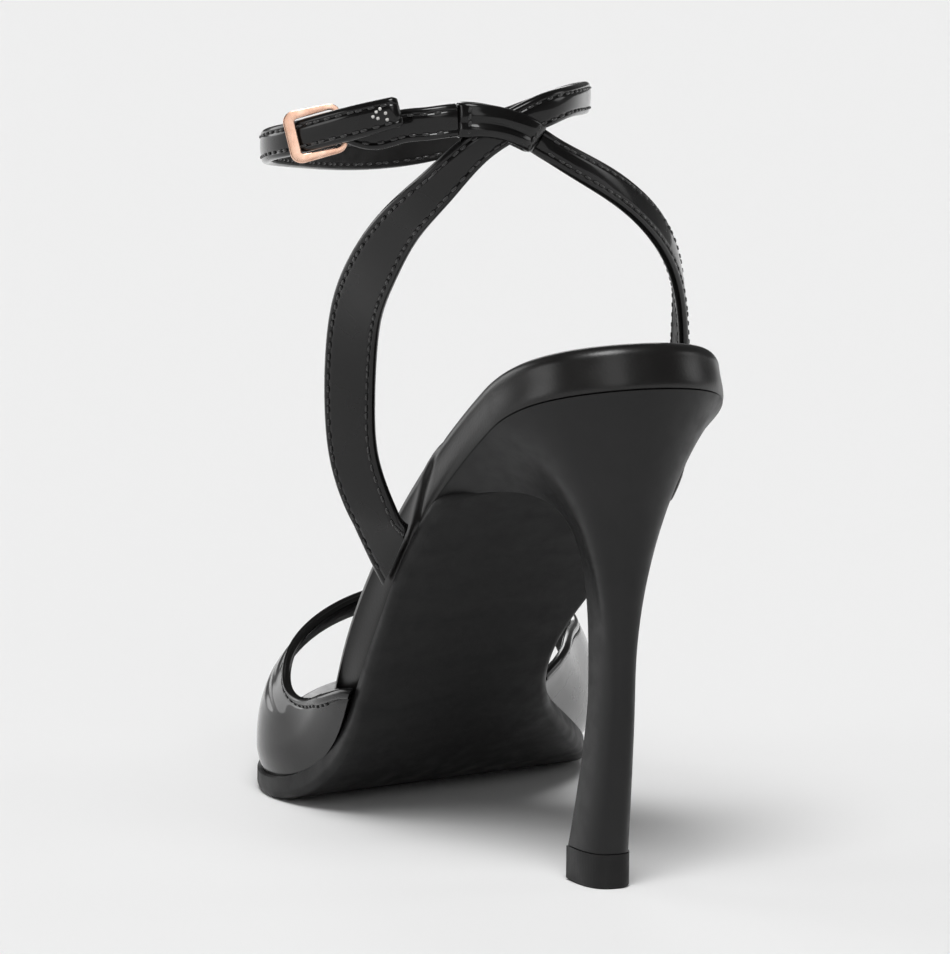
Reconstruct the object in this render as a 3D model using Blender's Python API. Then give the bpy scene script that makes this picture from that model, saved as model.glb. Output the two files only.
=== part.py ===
"""A left strappy sandal on a slender high heel, built as its maker would assemble it.

Frame: metres, +Y from heel to toe, +X to the inner side of the foot, +Z up. The origin is the middle of the
heel tip's underside, on the floor. Lengths along the sole are measured from the back of the seat, along the
feather line, which is the line in side view where the insole meets the outsole.
"""
import math
from collections import namedtuple

import bpy
import numpy as np

MM = 0.001

# The last and the sole
PLAN_LENGTH = 202 * MM        # back of the seat to the toe, seen from above
SEAT_HEIGHT = 95 * MM         # floor to the insole's underside at the back
BALL_WIDTH = 68 * MM          # insole across the ball
TOE_SPRING = 1.8 * MM         # rise of the toe over the tread
TREAD_SKEW = 0.30             # the ball's bending line runs forward towards the inner side
SOLE_THICK = 4.6 * MM         # outsole under the ball
SHANK_THICK = 2.2 * MM        # outsole under the arch
SOLE_ROUND = 1.6 * MM         # rounding of the outsole's lower edge
PAD_SEAT = 9.0 * MM           # padded insole at the seat
PAD_BALL = 5.0 * MM           # padded insole at the ball
PAD_ROUND = 2.6 * MM          # rounding of the insole's upper edge
SKEW_START = 0.20             # the bending line's slant grows from this share of the feather line
SKEW_RUN = 0.45               # and is full after this much more
SHANK_END = 0.30              # the outsole grows thicker from this share of the feather line
SHANK_FADE = 0.30             # and is full after this much more
SHARP_ANGLE = 40              # degrees; edges bent further than this stay sharp
GAP = 0.3 * MM                # between pieces that meet

# The heel
TIP_CENTRE = 15.5 * MM        # heel tip's middle, forward of the back of the seat
TIP_HEIGHT = 6.5 * MM
TIP_WIDTH = 9.6 * MM
TIP_LENGTH = 11.0 * MM
TIP_LIP = 0.25 * MM           # heel tip stands this far outside the heel
TIP_EDGE = 0.4 * MM           # bevel of the heel tip's lower edge
NECK_HEIGHT = 36 * MM         # the heel is slimmest here
NECK_WIDTH = 7.4 * MM
NECK_LENGTH = 8.8 * MM
NECK_CENTRE = 10.8 * MM       # neck's middle, forward of the back of the seat
HEEL_INSET = 0.3 * MM         # heel's top edge lies inside the insole's
FLANK = 51 * MM               # front of the heel's flanks, along the feather line
BREAST_HOLLOW = 8 * MM        # how far the heel's front edge curves back between its flanks
BREAST_POWER = 2.6            # squareness of that curve
BREAST_GAP = 1.2 * MM         # between the heel's front edge and the outsole's back end

# The toe band
VAMP_WALL = 1.6 * MM
VAMP_GAP = 1.25 * MM          # between the band and the insole's flank
VAMP_LIFT = 0.85 * MM         # band's lower edge over the feather line
VAMP_RISE = 34 * MM           # top of the band over the feather line
EDGE_BEAD = 0.7 * MM          # the turned edge stands this far out
EDGE_WIDTH = 2.2 * MM

# The straps
STRAP_THICK = 2.0 * MM
ROLL_WIDE = 0.72              # a strap's rolled edge: how far in it starts, as a share of half the thickness
ROLL_HIGH = 0.40              # and the height of its upright part
SLANT_FADE = 3                # a strap's slanted end is square again after this many steps
LATERAL_WIDTH = 10.6 * MM     # outer strap where it leaves the sole
ANKLE_WIDTH = 6.1 * MM        # straps round the ankle
MEDIAL_WIDTH = 8 * MM         # inner strap where it leaves the sole
MEDIAL_END = 5 * MM           # and where it is sewn to the sleeve
LOOP_HEIGHT = 142 * MM        # height that the strap tables share
LOOP_WIDTH = 64 * MM          # ankle loop across the foot
LOOP_LENGTH = 72 * MM         # ankle loop along the foot
LOOP_X = -26 * MM             # the empty loop leans outwards
LOOP_Y = 30 * MM              # loop's middle, forward of the heel tip's middle
SLEEVE_LENGTH = 16.4 * MM
SLEEVE_WIDTH = 6.8 * MM
END_RUN = 1.2 * MM            # straight run of the two straps sewn to the sleeve
END_GAP = 0.4 * MM            # between the sleeve and those two straps
SLEEVE_WALL = 1.1 * MM
SLEEVE_ROOM = 1.0 * MM        # between the sleeve and the strap inside it
SLEEVE_PUFF = 0.7 * MM        # the sleeve's faces stand out this far in the middle
SLEEVE_SLANT = 0.85           # how far its ends lean towards the strap inside it
SLEEVE_POWER = 3.6            # squareness of its section
SLEEVE_SET = 0.25 * MM        # the sleeve sits this far towards the ankle from the strap's middle

# The buckle
BUCKLE_LENGTH = 8.0 * MM
BUCKLE_BAR = 0.55 * MM        # half the thickness of its wire
BAR_WIDE = 1.9                # its outer bar is this much wider than the rest
BUCKLE_CORNER = 1.2 * MM
FOLD_LENGTH = 7 * MM          # the short strap is turned back this far round the buckle's bar
FOLD_THICK = 1.3 * MM
FOLD_CLOSE = 0.9 * MM         # the fold's end comes this much nearer to its strap
BAR_RUN = 2 * MM              # the short strap runs straight this far before the bar
BUCKLE_SIDE = 0.45 * MM       # between the strap's edges and the buckle
BUCKLE_ROOM = 0.8 * MM        # more room under the curved strap

Profile = namedtuple("Profile", "along up spring")
PROFILE = (  # shares of PLAN_LENGTH, of the rise from tread to seat, and of TOE_SPRING
    Profile(0.00, 1.000, 0.0),
    Profile(0.06, 0.955, 0.0),
    Profile(0.12, 0.885, 0.0),
    Profile(0.18, 0.785, 0.0),
    Profile(0.25, 0.635, 0.0),
    Profile(0.32, 0.465, 0.0),
    Profile(0.39, 0.300, 0.0),
    Profile(0.46, 0.152, 0.0),
    Profile(0.53, 0.050, 0.0),
    Profile(0.60, 0.005, 0.0),
    Profile(0.67, -0.002, 0.0),
    Profile(0.76, -0.002, 0.03),
    Profile(0.84, 0.000, 0.20),
    Profile(0.92, 0.000, 0.55),
    Profile(1.00, 0.000, 1.00),
)

Outline = namedtuple("Outline", "along centre half flare edge pad")
OUTLINE = (  # shares of the feather line, of half BALL_WIDTH (centre, half, flare, edge) and of the pad's taper
    Outline(0.00, 0.05, 0.665, 0.00, 0.00, 1.00),
    Outline(0.10, 0.05, 0.665, 0.00, 0.00, 1.00),
    Outline(0.20, 0.02, 0.680, 0.01, 0.00, 0.90),
    Outline(0.28, -0.03, 0.690, 0.03, 0.00, 0.78),
    Outline(0.35, -0.09, 0.670, 0.07, 0.00, 0.66),
    Outline(0.42, -0.13, 0.633, 0.08, 0.01, 0.54),
    Outline(0.50, -0.08, 0.650, 0.07, 0.04, 0.38),
    Outline(0.56, 0.01, 0.740, 0.05, 0.07, 0.26),
    Outline(0.65, 0.16, 0.940, 0.03, 0.09, 0.10),
    Outline(0.72, 0.32, 0.945, 0.02, 0.09, 0.00),
    Outline(0.80, 0.47, 0.845, 0.02, 0.09, -0.06),
    Outline(0.90, 0.62, 0.710, 0.02, 0.09, -0.20),
    Outline(1.00, 0.76, 0.520, 0.02, 0.09, -0.35),
)
SEAT_ROUND = 25 * MM          # length of the seat's round end
TOE_ROUND = 38 * MM           # length of the toe's round end

Arch = namedtuple("Arch", "along rise ridge")
ARCH = (  # shares of the feather line, of VAMP_RISE, and of the half width from the middle to the ridge
    Arch(0.42, 1.22, 0.10),
    Arch(0.52, 1.14, 0.16),
    Arch(0.60, 1.03, 0.22),
    Arch(0.68, 0.92, 0.26),
    Arch(0.76, 0.80, 0.26),
    Arch(0.84, 0.68, 0.22),
)

Edge = namedtuple("Edge", "across throat front")
EDGES = (  # across from the outer side (0) to the inner (1); the rest are shares of the feather line
    Edge(0.00, 0.452, 0.745),
    Edge(0.04, 0.506, 0.750),
    Edge(0.09, 0.565, 0.755),
    Edge(0.15, 0.614, 0.762),
    Edge(0.24, 0.652, 0.772),
    Edge(0.36, 0.655, 0.780),
    Edge(0.52, 0.655, 0.785),
    Edge(0.68, 0.648, 0.785),
    Edge(0.80, 0.625, 0.780),
    Edge(0.89, 0.580, 0.772),
    Edge(0.95, 0.525, 0.765),
    Edge(1.00, 0.480, 0.760),
)

Strap = namedtuple("Strap", "x y z facing width")
# x and y are shares of half LOOP_WIDTH and half LOOP_LENGTH from the loop's middle, z is a share of LOOP_HEIGHT.
# facing turns the outer face from backwards to outwards, in degrees. width is a share of the strap's own width.
LATERAL_RISE = (
    Strap(-0.19, 0.19, 0.460, 56, 1.00),
    Strap(-0.32, 0.19, 0.535, 54, 1.00),
    Strap(-0.37, 0.16, 0.609, 50, 1.00),
    Strap(-0.40, 0.08, 0.681, 45, 0.99),
    Strap(-0.435, -0.08, 0.747, 40, 0.97),
    Strap(-0.447, -0.33, 0.809, 34, 0.93),
    Strap(-0.40, -0.62, 0.875, 26, 0.80),
    Strap(-0.285, -0.87, 0.930, 14, 0.69),
    Strap(-0.085, -0.975, 0.982, 3, 0.59),
    Strap(0.05, -0.985, 1.001, -2, 0.57),
    Strap(0.175, -0.985, 1.014, -5, 0.57),
    Strap(0.31, -0.970, 1.025, -9, 0.60),
)
ANKLE_LOOP = (
    Strap(0.435, -0.91, 1.031, -18, 1.00),
    Strap(0.68, -0.64, 1.031, -42, 1.00),
    Strap(0.87, -0.31, 1.025, -66, 1.00),
    Strap(0.98, 0.20, 1.007, -100, 1.00),
    Strap(0.91, 0.64, 0.976, -130, 1.00),
    Strap(0.68, 0.88, 0.948, -148, 1.00),
    Strap(0.38, 0.98, 0.930, -166, 1.00),
    Strap(0.06, 0.93, 0.926, -184, 1.00),
    Strap(-0.27, 0.75, 0.932, -204, 1.00),
    Strap(-0.59, 0.48, 0.943, -226, 1.00),
    Strap(-0.85, 0.20, 0.954, -248, 1.00),
    Strap(-1.00, -0.07, 0.964, -270, 1.00),
    Strap(-1.06, -0.32, 0.975, -288, 1.00),
    Strap(-1.03, -0.52, 0.985, -303, 1.00),
    Strap(-0.93, -0.69, 0.998, -316, 1.00),
    Strap(-0.77, -0.86, 1.011, -328, 1.00),
    Strap(-0.58, -0.99, 1.021, -338, 0.92),
)
MEDIAL_RISE = (
    Strap(1.68, 0.13, 0.510, -88, 1.00),
    Strap(1.66, 0.00, 0.600, -86, 1.00),
    Strap(1.58, -0.16, 0.690, -82, 1.00),
    Strap(1.46, -0.37, 0.772, -74, 0.97),
    Strap(1.31, -0.54, 0.828, -69, 0.92),
    Strap(1.11, -0.69, 0.880, -62, 0.85),
    Strap(0.82, -0.84, 0.928, -50, 0.76),
    Strap(0.53, -0.95, 0.963, -32, 0.68),
)
BAND = (
    Strap(0.245, -0.985, 0.985, -12, 1.00),
    Strap(0.00, -0.985, 1.001, -3, 1.00),
    Strap(-0.245, -0.985, 1.013, 5, 1.00),
    Strap(-0.39, -0.95, 1.011, 13, 1.00),
    Strap(-0.52, -0.87, 1.006, 22, 1.00),
    Strap(-0.66, -0.77, 0.996, 31, 1.00),
)


def column(rows, name):
    return np.array([getattr(row, name) for row in rows])


def spline(knots, values):
    """A natural cubic spline through the values, and its slope."""
    knots, values = np.asarray(knots, float), np.asarray(values, float)
    step = np.diff(knots)
    count = len(knots)
    matrix, right = np.eye(count), np.zeros(count)
    for i in range(1, count - 1):
        matrix[i, i - 1:i + 2] = step[i - 1], 2 * (step[i - 1] + step[i]), step[i]
        right[i] = 6 * ((values[i + 1] - values[i]) / step[i] - (values[i] - values[i - 1]) / step[i - 1])
    bend = np.linalg.solve(matrix, right)

    def at(x, slope=False):
        x = np.asarray(x, float)
        i = np.clip(np.searchsorted(knots, x) - 1, 0, count - 2)
        h = step[i]
        a, b = (knots[i + 1] - x) / h, (x - knots[i]) / h
        if slope:
            tilt = (values[i + 1] - values[i]) / h
            return tilt + h / 6 * ((3 * b ** 2 - 1) * bend[i + 1] - (3 * a ** 2 - 1) * bend[i])
        curve = (a ** 3 - a) * bend[i] + (b ** 3 - b) * bend[i + 1]
        return a * values[i] + b * values[i + 1] + curve * h ** 2 / 6

    return at


TREAD_DIP = 0.25 * MM         # the outsole is trimmed flat where it would dip under the floor
RISE = SEAT_HEIGHT - SOLE_THICK
profile_z = spline(
    column(PROFILE, "along") * PLAN_LENGTH,
    SOLE_THICK - TREAD_DIP + column(PROFILE, "up") * (RISE + TREAD_DIP) + column(PROFILE, "spring") * TOE_SPRING,
)
_plan = np.linspace(0, PLAN_LENGTH, 800)
_steps = np.hypot(np.diff(_plan), np.diff(profile_z(_plan)))
_lengths = np.concatenate([[0], np.cumsum(_steps)])
FEATHER = _lengths[-1]        # length of the feather line
HALF_BALL = BALL_WIDTH / 2

centre_at = spline(column(OUTLINE, "along") * FEATHER, column(OUTLINE, "centre") * HALF_BALL)
half_at = spline(column(OUTLINE, "along") * FEATHER, column(OUTLINE, "half") * HALF_BALL)
flare_at = spline(column(OUTLINE, "along") * FEATHER, column(OUTLINE, "flare") * HALF_BALL)
edge_at = spline(column(OUTLINE, "along") * FEATHER, column(OUTLINE, "edge") * HALF_BALL)
pad_at = spline(
    column(OUTLINE, "along") * FEATHER,
    PAD_BALL + column(OUTLINE, "pad") * (PAD_SEAT - PAD_BALL),
)


def on_sole(s, x, n):
    """The point s along the feather line, x across, and n out from it, square to the sole."""
    y = np.interp(s, _lengths, _plan) + np.minimum(s, 0) + np.maximum(s - FEATHER, 0)
    share = np.clip((s / FEATHER - SKEW_START) / SKEW_RUN, 0, 1)
    bent = y - TREAD_SKEW * share ** 2 * (3 - 2 * share) * x
    held = np.clip(bent, 0, PLAN_LENGTH)
    slope = profile_z(held, slope=True)
    length = np.sqrt(1 + slope ** 2)
    z = profile_z(held) + slope * (bent - held)
    return np.stack([x + 0 * y, y - slope / length * n - TIP_CENTRE, z + n / length], -1)


def round_end(distance, length, power=2.0):
    """Share of the full width at this distance from a round end."""
    share = np.clip(distance / length, 0, 1)
    return (1 - (1 - share) ** power) ** (1 / power)


def insole_edge(s):
    """Outer and inner edge of the insole at its widest."""
    half = half_at(s) * round_end(s, SEAT_ROUND) * round_end(FEATHER - s, TOE_ROUND, 2.3)
    return centre_at(s) - half, centre_at(s) + half


def stations(count, start=0.0, crowd=0.74):
    """Distances along the sole, closer together at both ends."""
    t = np.linspace(0, 1, count)
    return start + (FEATHER - start) * (t - crowd * np.sin(2 * math.pi * t) / (2 * math.pi))


def inset_outline(s, inset):
    """The insole's outline moved in by inset(s): its outer and inner side, each as (s, x) rows."""
    outer, inner = insole_edge(s)
    loop = np.concatenate([np.stack([s, outer], 1), np.stack([s, inner], 1)[-2:0:-1]])
    tangent = np.roll(loop, -1, 0) - np.roll(loop, 1, 0)
    tangent /= np.linalg.norm(tangent, axis=1)[:, None]
    inward = np.stack([-tangent[:, 1], tangent[:, 0]], 1)
    loop = loop + inward * inset(loop[:, 0])[:, None]
    count = len(s)
    return loop[:count], np.concatenate([loop[:1], loop[:count - 1:-1], loop[count - 1:count]])


def make_object(name, points, faces, material, collection):
    mesh = bpy.data.meshes.new(name)
    mesh.from_pydata([tuple(p) for p in points], [], [tuple(f) for f in faces])
    mesh.validate()
    mesh.materials.append(material)
    mesh.shade_smooth()
    mesh.set_sharp_from_angle(angle=math.radians(SHARP_ANGLE))
    obj = bpy.data.objects.new(name, mesh)
    collection.objects.link(obj)
    return obj


def band(first, second, count, closed=True):
    """Quads between two rows of points, given where each row starts."""
    last = count if closed else count - 1
    return [(first + i, first + (i + 1) % count, second + (i + 1) % count, second + i) for i in range(last)]


CAP_STEPS = 5                 # strips across the faces of the soles


def slab(name, layers, place, count, material, collection):
    """A solid of stacked rings. Each layer is an outline's two sides and its lift; place sets a point in space."""
    size = 2 * count - 2
    points, faces = [], []
    for (outer, inner), lift in layers:
        loop = np.concatenate([outer, inner[-2:0:-1]])
        points.append(place(loop[:, 0], loop[:, 1], lift))
    for k in range(len(layers) - 1):
        faces += [f[::-1] for f in band(k * size, (k + 1) * size, size)]
    for layer, turn in ((0, -1), (len(layers) - 1, 1)):
        (outer, inner), lift = layers[layer]
        start = layer * size
        first = sum(len(p) for p in points)
        columns = [[start + i for i in range(count)]]
        for step in range(1, CAP_STEPS):
            share = step / CAP_STEPS
            row = (outer + (inner - outer) * share)[1:-1]
            points.append(place(row[:, 0], row[:, 1], lift))
            inside = [first + (step - 1) * (count - 2) + i for i in range(count - 2)]
            columns.append([start, *inside, start + count - 1])
        columns.append([start, *(start + size - i for i in range(1, count - 1)), start + count - 1])
        for left, right in zip(columns, columns[1:]):
            for i in range(count - 1):
                corners = list(dict.fromkeys([left[i], right[i], right[i + 1], left[i + 1]]))
                faces.append(tuple(corners[::turn]))
    return make_object(name, np.concatenate(points), faces, material, collection)


Pad = namedtuple("Pad", "flare inset height drop")
PAD_ROWS = (  # shares of the flare, of PAD_ROUND moved in, of the pad's height, and of PAD_ROUND moved down
    Pad(1.00, 0.35, 0.00, 0.00),
    Pad(0.94, 0.00, 0.10, 0.00),
    Pad(0.45, 0.00, 0.50, 0.00),
    Pad(0.00, 0.00, 1.00, 1.00),
    Pad(0.00, 0.25, 1.00, 0.35),
    Pad(0.00, 1.00, 1.00, 0.00),
)


def insole(material, collection, count=56):
    s = stations(count)
    layers = []
    for row in PAD_ROWS:
        sides = inset_outline(s, lambda t, r=row: r.flare * flare_at(t) + r.inset * PAD_ROUND)
        layers.append((sides, (row.height, row.drop)))

    def place(along, x, lift):
        height, drop = lift
        return on_sole(along, x, GAP / 2 + height * (pad_at(along) - GAP / 2) - drop * PAD_ROUND)

    return slab("insole", layers, place, count, material, collection)


SoleRow = namedtuple("SoleRow", "inset thick rise least")
SOLE_ROWS = (  # shares of SOLE_ROUND moved in, of the thickness, and of SOLE_ROUND for the rise and the lowest height
    SoleRow(1.0, 1.00, 0.0, 0.0),
    SoleRow(0.3, 1.00, 0.3, 0.3),
    SoleRow(0.0, 0.55, 0.0, 0.9),
    SoleRow(0.0, 0.00, 0.0, 0.0),
)


def sole_thick(s):
    share = np.clip((s / FEATHER - SHANK_END) / SHANK_FADE, 0, 1)
    return SHANK_THICK + (SOLE_THICK - SHANK_THICK) * share ** 2 * (3 - 2 * share)


def outsole(material, collection, count=52):
    start = FLANK - BREAST_HOLLOW + BREAST_GAP
    s = stations(count, start)

    def sides(inset):
        outer, inner = inset_outline(
            np.concatenate([[0.0], s]),
            lambda t: flare_at(t) - edge_at(t) + inset,
        )
        outer, inner = outer[1:], inner[1:]
        middle = (outer[:, 1] + inner[:, 1]) / 2
        share = round_end(s - start, BREAST_HOLLOW, BREAST_POWER)
        for side in (outer, inner):
            side[:, 1] = middle + (side[:, 1] - middle) * share
            side[:, 0] = np.maximum(side[:, 0], start + inset * (1 - share))
        return outer, inner

    def place(along, x, lift):
        thick, rise, least = lift
        point = on_sole(along, x, -GAP / 2 - thick * (sole_thick(along) - GAP / 2) + rise * SOLE_ROUND)
        point[:, 2] = np.maximum(point[:, 2], least * SOLE_ROUND)
        return point

    layers = [(sides(row.inset * SOLE_ROUND), row[1:]) for row in SOLE_ROWS]
    return slab("outsole", layers, place, count, material, collection)


SECTION_POWER = 2.8           # squareness of the heel's and the tip's back
FRONT_BULGE = 0.06            # their front stands out by this share of their length
FLANK_CROWD = 1.6             # rings' points lie closer together towards the back of the seat
HEEL_DROPS = (0.03, 0.08, 0.14, 0.21, 0.29, 0.38, 0.48, 0.60, 0.72, 0.86, 1.0)  # rings from seat to neck
STEM_STEPS = (0.25, 0.50, 0.75, 1.00)  # rings from neck to tip
STEM_FLARE = 1.35             # how late the heel widens towards its tip
BACK_POWER = (2.0, 1.9)       # how fast the heel's back closes in on the neck, across and along
FLANK_POWER = (4.0, 0.9)      # how much faster its flanks do


def heel_section(half_width, length, middle, count, front_count, power=SECTION_POWER):
    """A heel section seen from above: round at the back, flat in front. It starts at the front outer corner."""
    turn = np.linspace(0, math.pi, count)
    x = -half_width * np.sign(np.cos(turn)) * np.abs(np.cos(turn)) ** (2 / power)
    y = middle + length / 2 - length * np.abs(np.sin(turn)) ** (2 / power)
    front = np.linspace(1, -1, front_count + 2)[1:-1]
    bulge = FRONT_BULGE * length * (1 - front ** 2)
    return np.concatenate([
        np.stack([x, y], 1),
        np.stack([half_width * front, middle + length / 2 + bulge], 1),
    ])


def heel(material, collection, count=33, front_count=15):
    size = count + front_count
    half = (count - 1) // 2
    share = np.linspace(0, 1, half + 1)
    s_side = FLANK * (1 - share) ** FLANK_CROWD
    outer, inner = inset_outline(
        np.concatenate([np.sort(s_side), [FLANK * 1.2, FEATHER]]),
        lambda t: flare_at(t) + HEEL_INSET,
    )
    outer, inner = outer[:half + 1][::-1], inner[:half + 1]
    across = np.cos(np.linspace(0, math.pi, front_count + 2))[1:-1]
    x_front = (inner[-1, 1] + outer[0, 1]) / 2 + across * (inner[-1, 1] - outer[0, 1]) / 2
    s_front = FLANK - BREAST_HOLLOW * (1 - np.abs(across) ** BREAST_POWER) ** (1 / BREAST_POWER)
    top = np.concatenate([outer, inner[1:], np.stack([s_front, x_front], 1)])
    top_points = on_sole(top[:, 0], top[:, 1], np.full(size, -GAP / 2))
    neck = heel_section(NECK_WIDTH / 2, NECK_LENGTH, NECK_CENTRE - TIP_CENTRE, count, front_count)
    tip = heel_section(TIP_WIDTH / 2, TIP_LENGTH, 0.0, count, front_count)
    forward = np.clip(top[:, 0] / FLANK, 0, 1)
    power = np.stack([BACK_POWER[0] + FLANK_POWER[0] * forward ** 2, BACK_POWER[1] + FLANK_POWER[1] * forward], 1)
    rings = [top_points]
    for drop in HEEL_DROPS:
        share = (1 - drop) ** power
        xy = neck + (top_points[:, :2] - neck) * share
        under = profile_z(np.clip(xy[:, 1] + TIP_CENTRE, 0, PLAN_LENGTH)) - GAP / 2
        z = under - drop * (under - NECK_HEIGHT)
        rings.append(np.column_stack([xy, z]))
    for step in STEM_STEPS:
        ease = step ** STEM_FLARE
        xy = neck + (tip - neck) * ease
        z = NECK_HEIGHT + (TIP_HEIGHT + GAP - NECK_HEIGHT) * step
        rings.append(np.column_stack([xy, np.full(size, z)]))
    rings = rings[::-1]
    faces = []
    for k in range(len(rings) - 1):
        faces += band(k * size, (k + 1) * size, size)
    faces += lid(0, count, front_count, -1) + lid((len(rings) - 1) * size, count, front_count, 1)
    return make_object("heel", np.concatenate(rings), faces, material, collection)


def lid(start, count, front_count, turn):
    """Closes a heel ring with strips from its outer side to its inner side."""
    half = (count - 1) // 2
    faces = []
    for i in range(half):
        corners = [start + i, start + i + 1, start + count - 2 - i, start + count - 1 - i]
        unique = list(dict.fromkeys(corners))
        faces.append(tuple(unique[::turn]))
    front = [start + i for i in range(count - 1, count + front_count)] + [start]
    faces.append(tuple(front[::turn]))
    return faces


def heel_tip(material, collection, count=33, front_count=15):
    size = count + front_count
    rings = []
    for z, inset in ((0.0, TIP_EDGE), (TIP_EDGE, 0.0), (TIP_HEIGHT, 0.0)):
        lip = TIP_LIP - inset
        xy = heel_section(TIP_WIDTH / 2 + lip, TIP_LENGTH + 2 * lip, 0.0, count, front_count)
        rings.append(np.column_stack([xy, np.full(size, z)]))
    faces = []
    for k in range(len(rings) - 1):
        faces += band(k * size, (k + 1) * size, size)
    faces += lid(0, count, front_count, -1) + lid((len(rings) - 1) * size, count, front_count, 1)
    return make_object("heel_tip", np.concatenate(rings), faces, material, collection)


rise_at = spline(column(ARCH, "along") * FEATHER, column(ARCH, "rise") * VAMP_RISE)
ridge_at = spline(column(ARCH, "along") * FEATHER, column(ARCH, "ridge") * HALF_BALL)
throat_at = spline(column(EDGES, "across"), column(EDGES, "throat") * FEATHER)
front_at = spline(column(EDGES, "across"), column(EDGES, "front") * FEATHER)
VAMP_POWER = 2.5              # squareness of the band's arch


def vamp_inside(s, across):
    """The toe band's inner face at s along the sole and a share of the way across, over the foot."""
    outer, inner = insole_edge(s)
    outer, inner = outer - VAMP_GAP, inner + VAMP_GAP
    ridge = centre_at(s) + ridge_at(s)
    turn = across * math.pi
    lateral = np.cos(turn) > 0
    reach = np.where(lateral, ridge - outer, inner - ridge)
    swing = np.abs(np.cos(turn)) ** (2 / VAMP_POWER)
    x = ridge - np.where(lateral, 1, -1) * reach * swing
    n = VAMP_LIFT + rise_at(s) * np.abs(np.sin(turn)) ** (2 / VAMP_POWER)
    tuck = flare_at(s) * np.clip(1 - n / pad_at(s), 0, 1) ** 1.3
    return on_sole(s, x + np.where(lateral, 1, -1) * tuck, n)


def vamp_grid(across, along, out):
    """The inner face moved out by out(distance from the nearer edge)."""
    throat, front = throat_at(across)[:, None], front_at(across)[:, None]
    s = throat + (front - throat) * along[None, :]
    u = np.repeat(across[:, None], len(along), 1)
    point = vamp_inside(s, u)
    small = 1e-4
    turn = np.clip(u, small, 1 - small)
    d_across = vamp_inside(s, turn + small) - vamp_inside(s, turn - small)
    d_along = vamp_inside(s + small, turn) - vamp_inside(s - small, turn)
    normal = np.cross(d_across, d_along)
    normal /= np.linalg.norm(normal, axis=2)[:, :, None]
    nearer = np.minimum(s - throat, front - s)
    return point + normal * out(nearer)[:, :, None]


def vamp(material, collection, count=41, rows=14):
    across = np.linspace(0, 1, count)
    lean = 0.25
    across = across - lean * np.sin(2 * math.pi * across) / (2 * math.pi)
    along = np.concatenate([[0, 0.02, 0.05], np.linspace(0.1, 0.9, rows - 6), [0.95, 0.98, 1.0]])

    def outside(nearer):
        bead = np.clip(1 - nearer / EDGE_WIDTH, 0, 1)
        return VAMP_WALL + EDGE_BEAD * np.sin(math.pi * np.clip(bead, 0, 0.75) / 0.75 * 0.5) ** 2

    outer = vamp_grid(across, along, outside)
    inner = vamp_grid(across, along, lambda nearer: 0 * nearer)
    points = np.concatenate([outer.reshape(-1, 3), inner.reshape(-1, 3)])
    total = count * rows
    faces = []
    for i in range(count - 1):
        for j in range(rows - 1):
            a, b = i * rows + j, (i + 1) * rows + j
            faces.append((a, a + 1, b + 1, b))
            faces.append((total + a, total + b, total + b + 1, total + a + 1))
    for j in range(rows - 1):
        a, b = j, (count - 1) * rows + j
        faces.append((a + 1, a, total + a, total + a + 1))
        faces.append((b, b + 1, total + b + 1, total + b))
    for i in range(count - 1):
        a, b = i * rows, (i + 1) * rows
        faces.append((a, b, total + b, total + a))
        a, b = a + rows - 1, b + rows - 1
        faces.append((b, a, total + a, total + b))
    return make_object("vamp", points, [f[::-1] for f in faces], material, collection)


def unit(vector):
    return vector / np.linalg.norm(vector, axis=-1, keepdims=True)


def strap_points(rows):
    return np.stack([
        LOOP_X + column(rows, "x") * LOOP_WIDTH / 2,
        LOOP_Y + column(rows, "y") * LOOP_LENGTH / 2,
        column(rows, "z") * LOOP_HEIGHT,
    ], 1)


def smooth_path(points, facing, width, step=3.0 * MM):
    """Evenly spaced points on a spline through the given ones, with their facing and width."""
    length = np.concatenate([[0], np.cumsum(np.linalg.norm(np.diff(points, axis=0), axis=1))])
    count = max(4, int(round(length[-1] / step)) + 1)
    at = np.linspace(0, length[-1], count)
    path = np.stack([spline(length, values)(at) for values in points.T], 1)
    return path, spline(length, facing)(at), spline(length, width)(at)


def frames(centre, facing):
    """Along, across and out directions at each point of a strap."""
    along = unit(np.gradient(centre, axis=0))
    turn = np.radians(facing)
    out = np.stack([-np.sin(turn), -np.cos(turn), 0 * turn], 1)
    across = unit(np.cross(along, out))
    return along, across, np.cross(across, along)


def ribbon(name, centre, directions, width, material, collection, thick=STRAP_THICK, slant=(0.0, 0.0)):
    """A strap: an eight-sided section, flat on both faces, swept along its centre line."""
    along, across, out = directions
    last = len(centre) - 1
    points = []
    for k in range(len(centre)):
        half, full = width[k] / 2, thick[k] / 2 if np.ndim(thick) else thick / 2
        flat, low = half - ROLL_WIDE * full, ROLL_HIGH * full
        section = ((half, -low), (half, low), (flat, full), (-flat, full),
                   (-half, low), (-half, -low), (-flat, -full), (flat, -full))
        fade = slant[0] * max(0.0, 1 - k / SLANT_FADE) + slant[1] * max(0.0, 1 - (last - k) / SLANT_FADE)
        points += [centre[k] + across[k] * a + out[k] * b + along[k] * a * fade for a, b in section]
    faces = []
    for k in range(last):
        faces += [f[::-1] for f in band(k * 8, (k + 1) * 8, 8)]
    faces.append(tuple(range(8)))
    faces.append(tuple(last * 8 + i for i in range(7, -1, -1)))
    return make_object(name, np.array(points), faces, material, collection)


def flank_point(s, side):
    """Where a strap's centre line meets the insole's flank: side is -1 for the outer side."""
    outer, inner = insole_edge(np.array(s))
    edge = (outer if side < 0 else inner) - side * flare_at(s) * (1 - ROOT_LIFT)
    return on_sole(np.array(s), edge + side * ROOT_OUT, ROOT_LIFT * pad_at(s))


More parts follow.
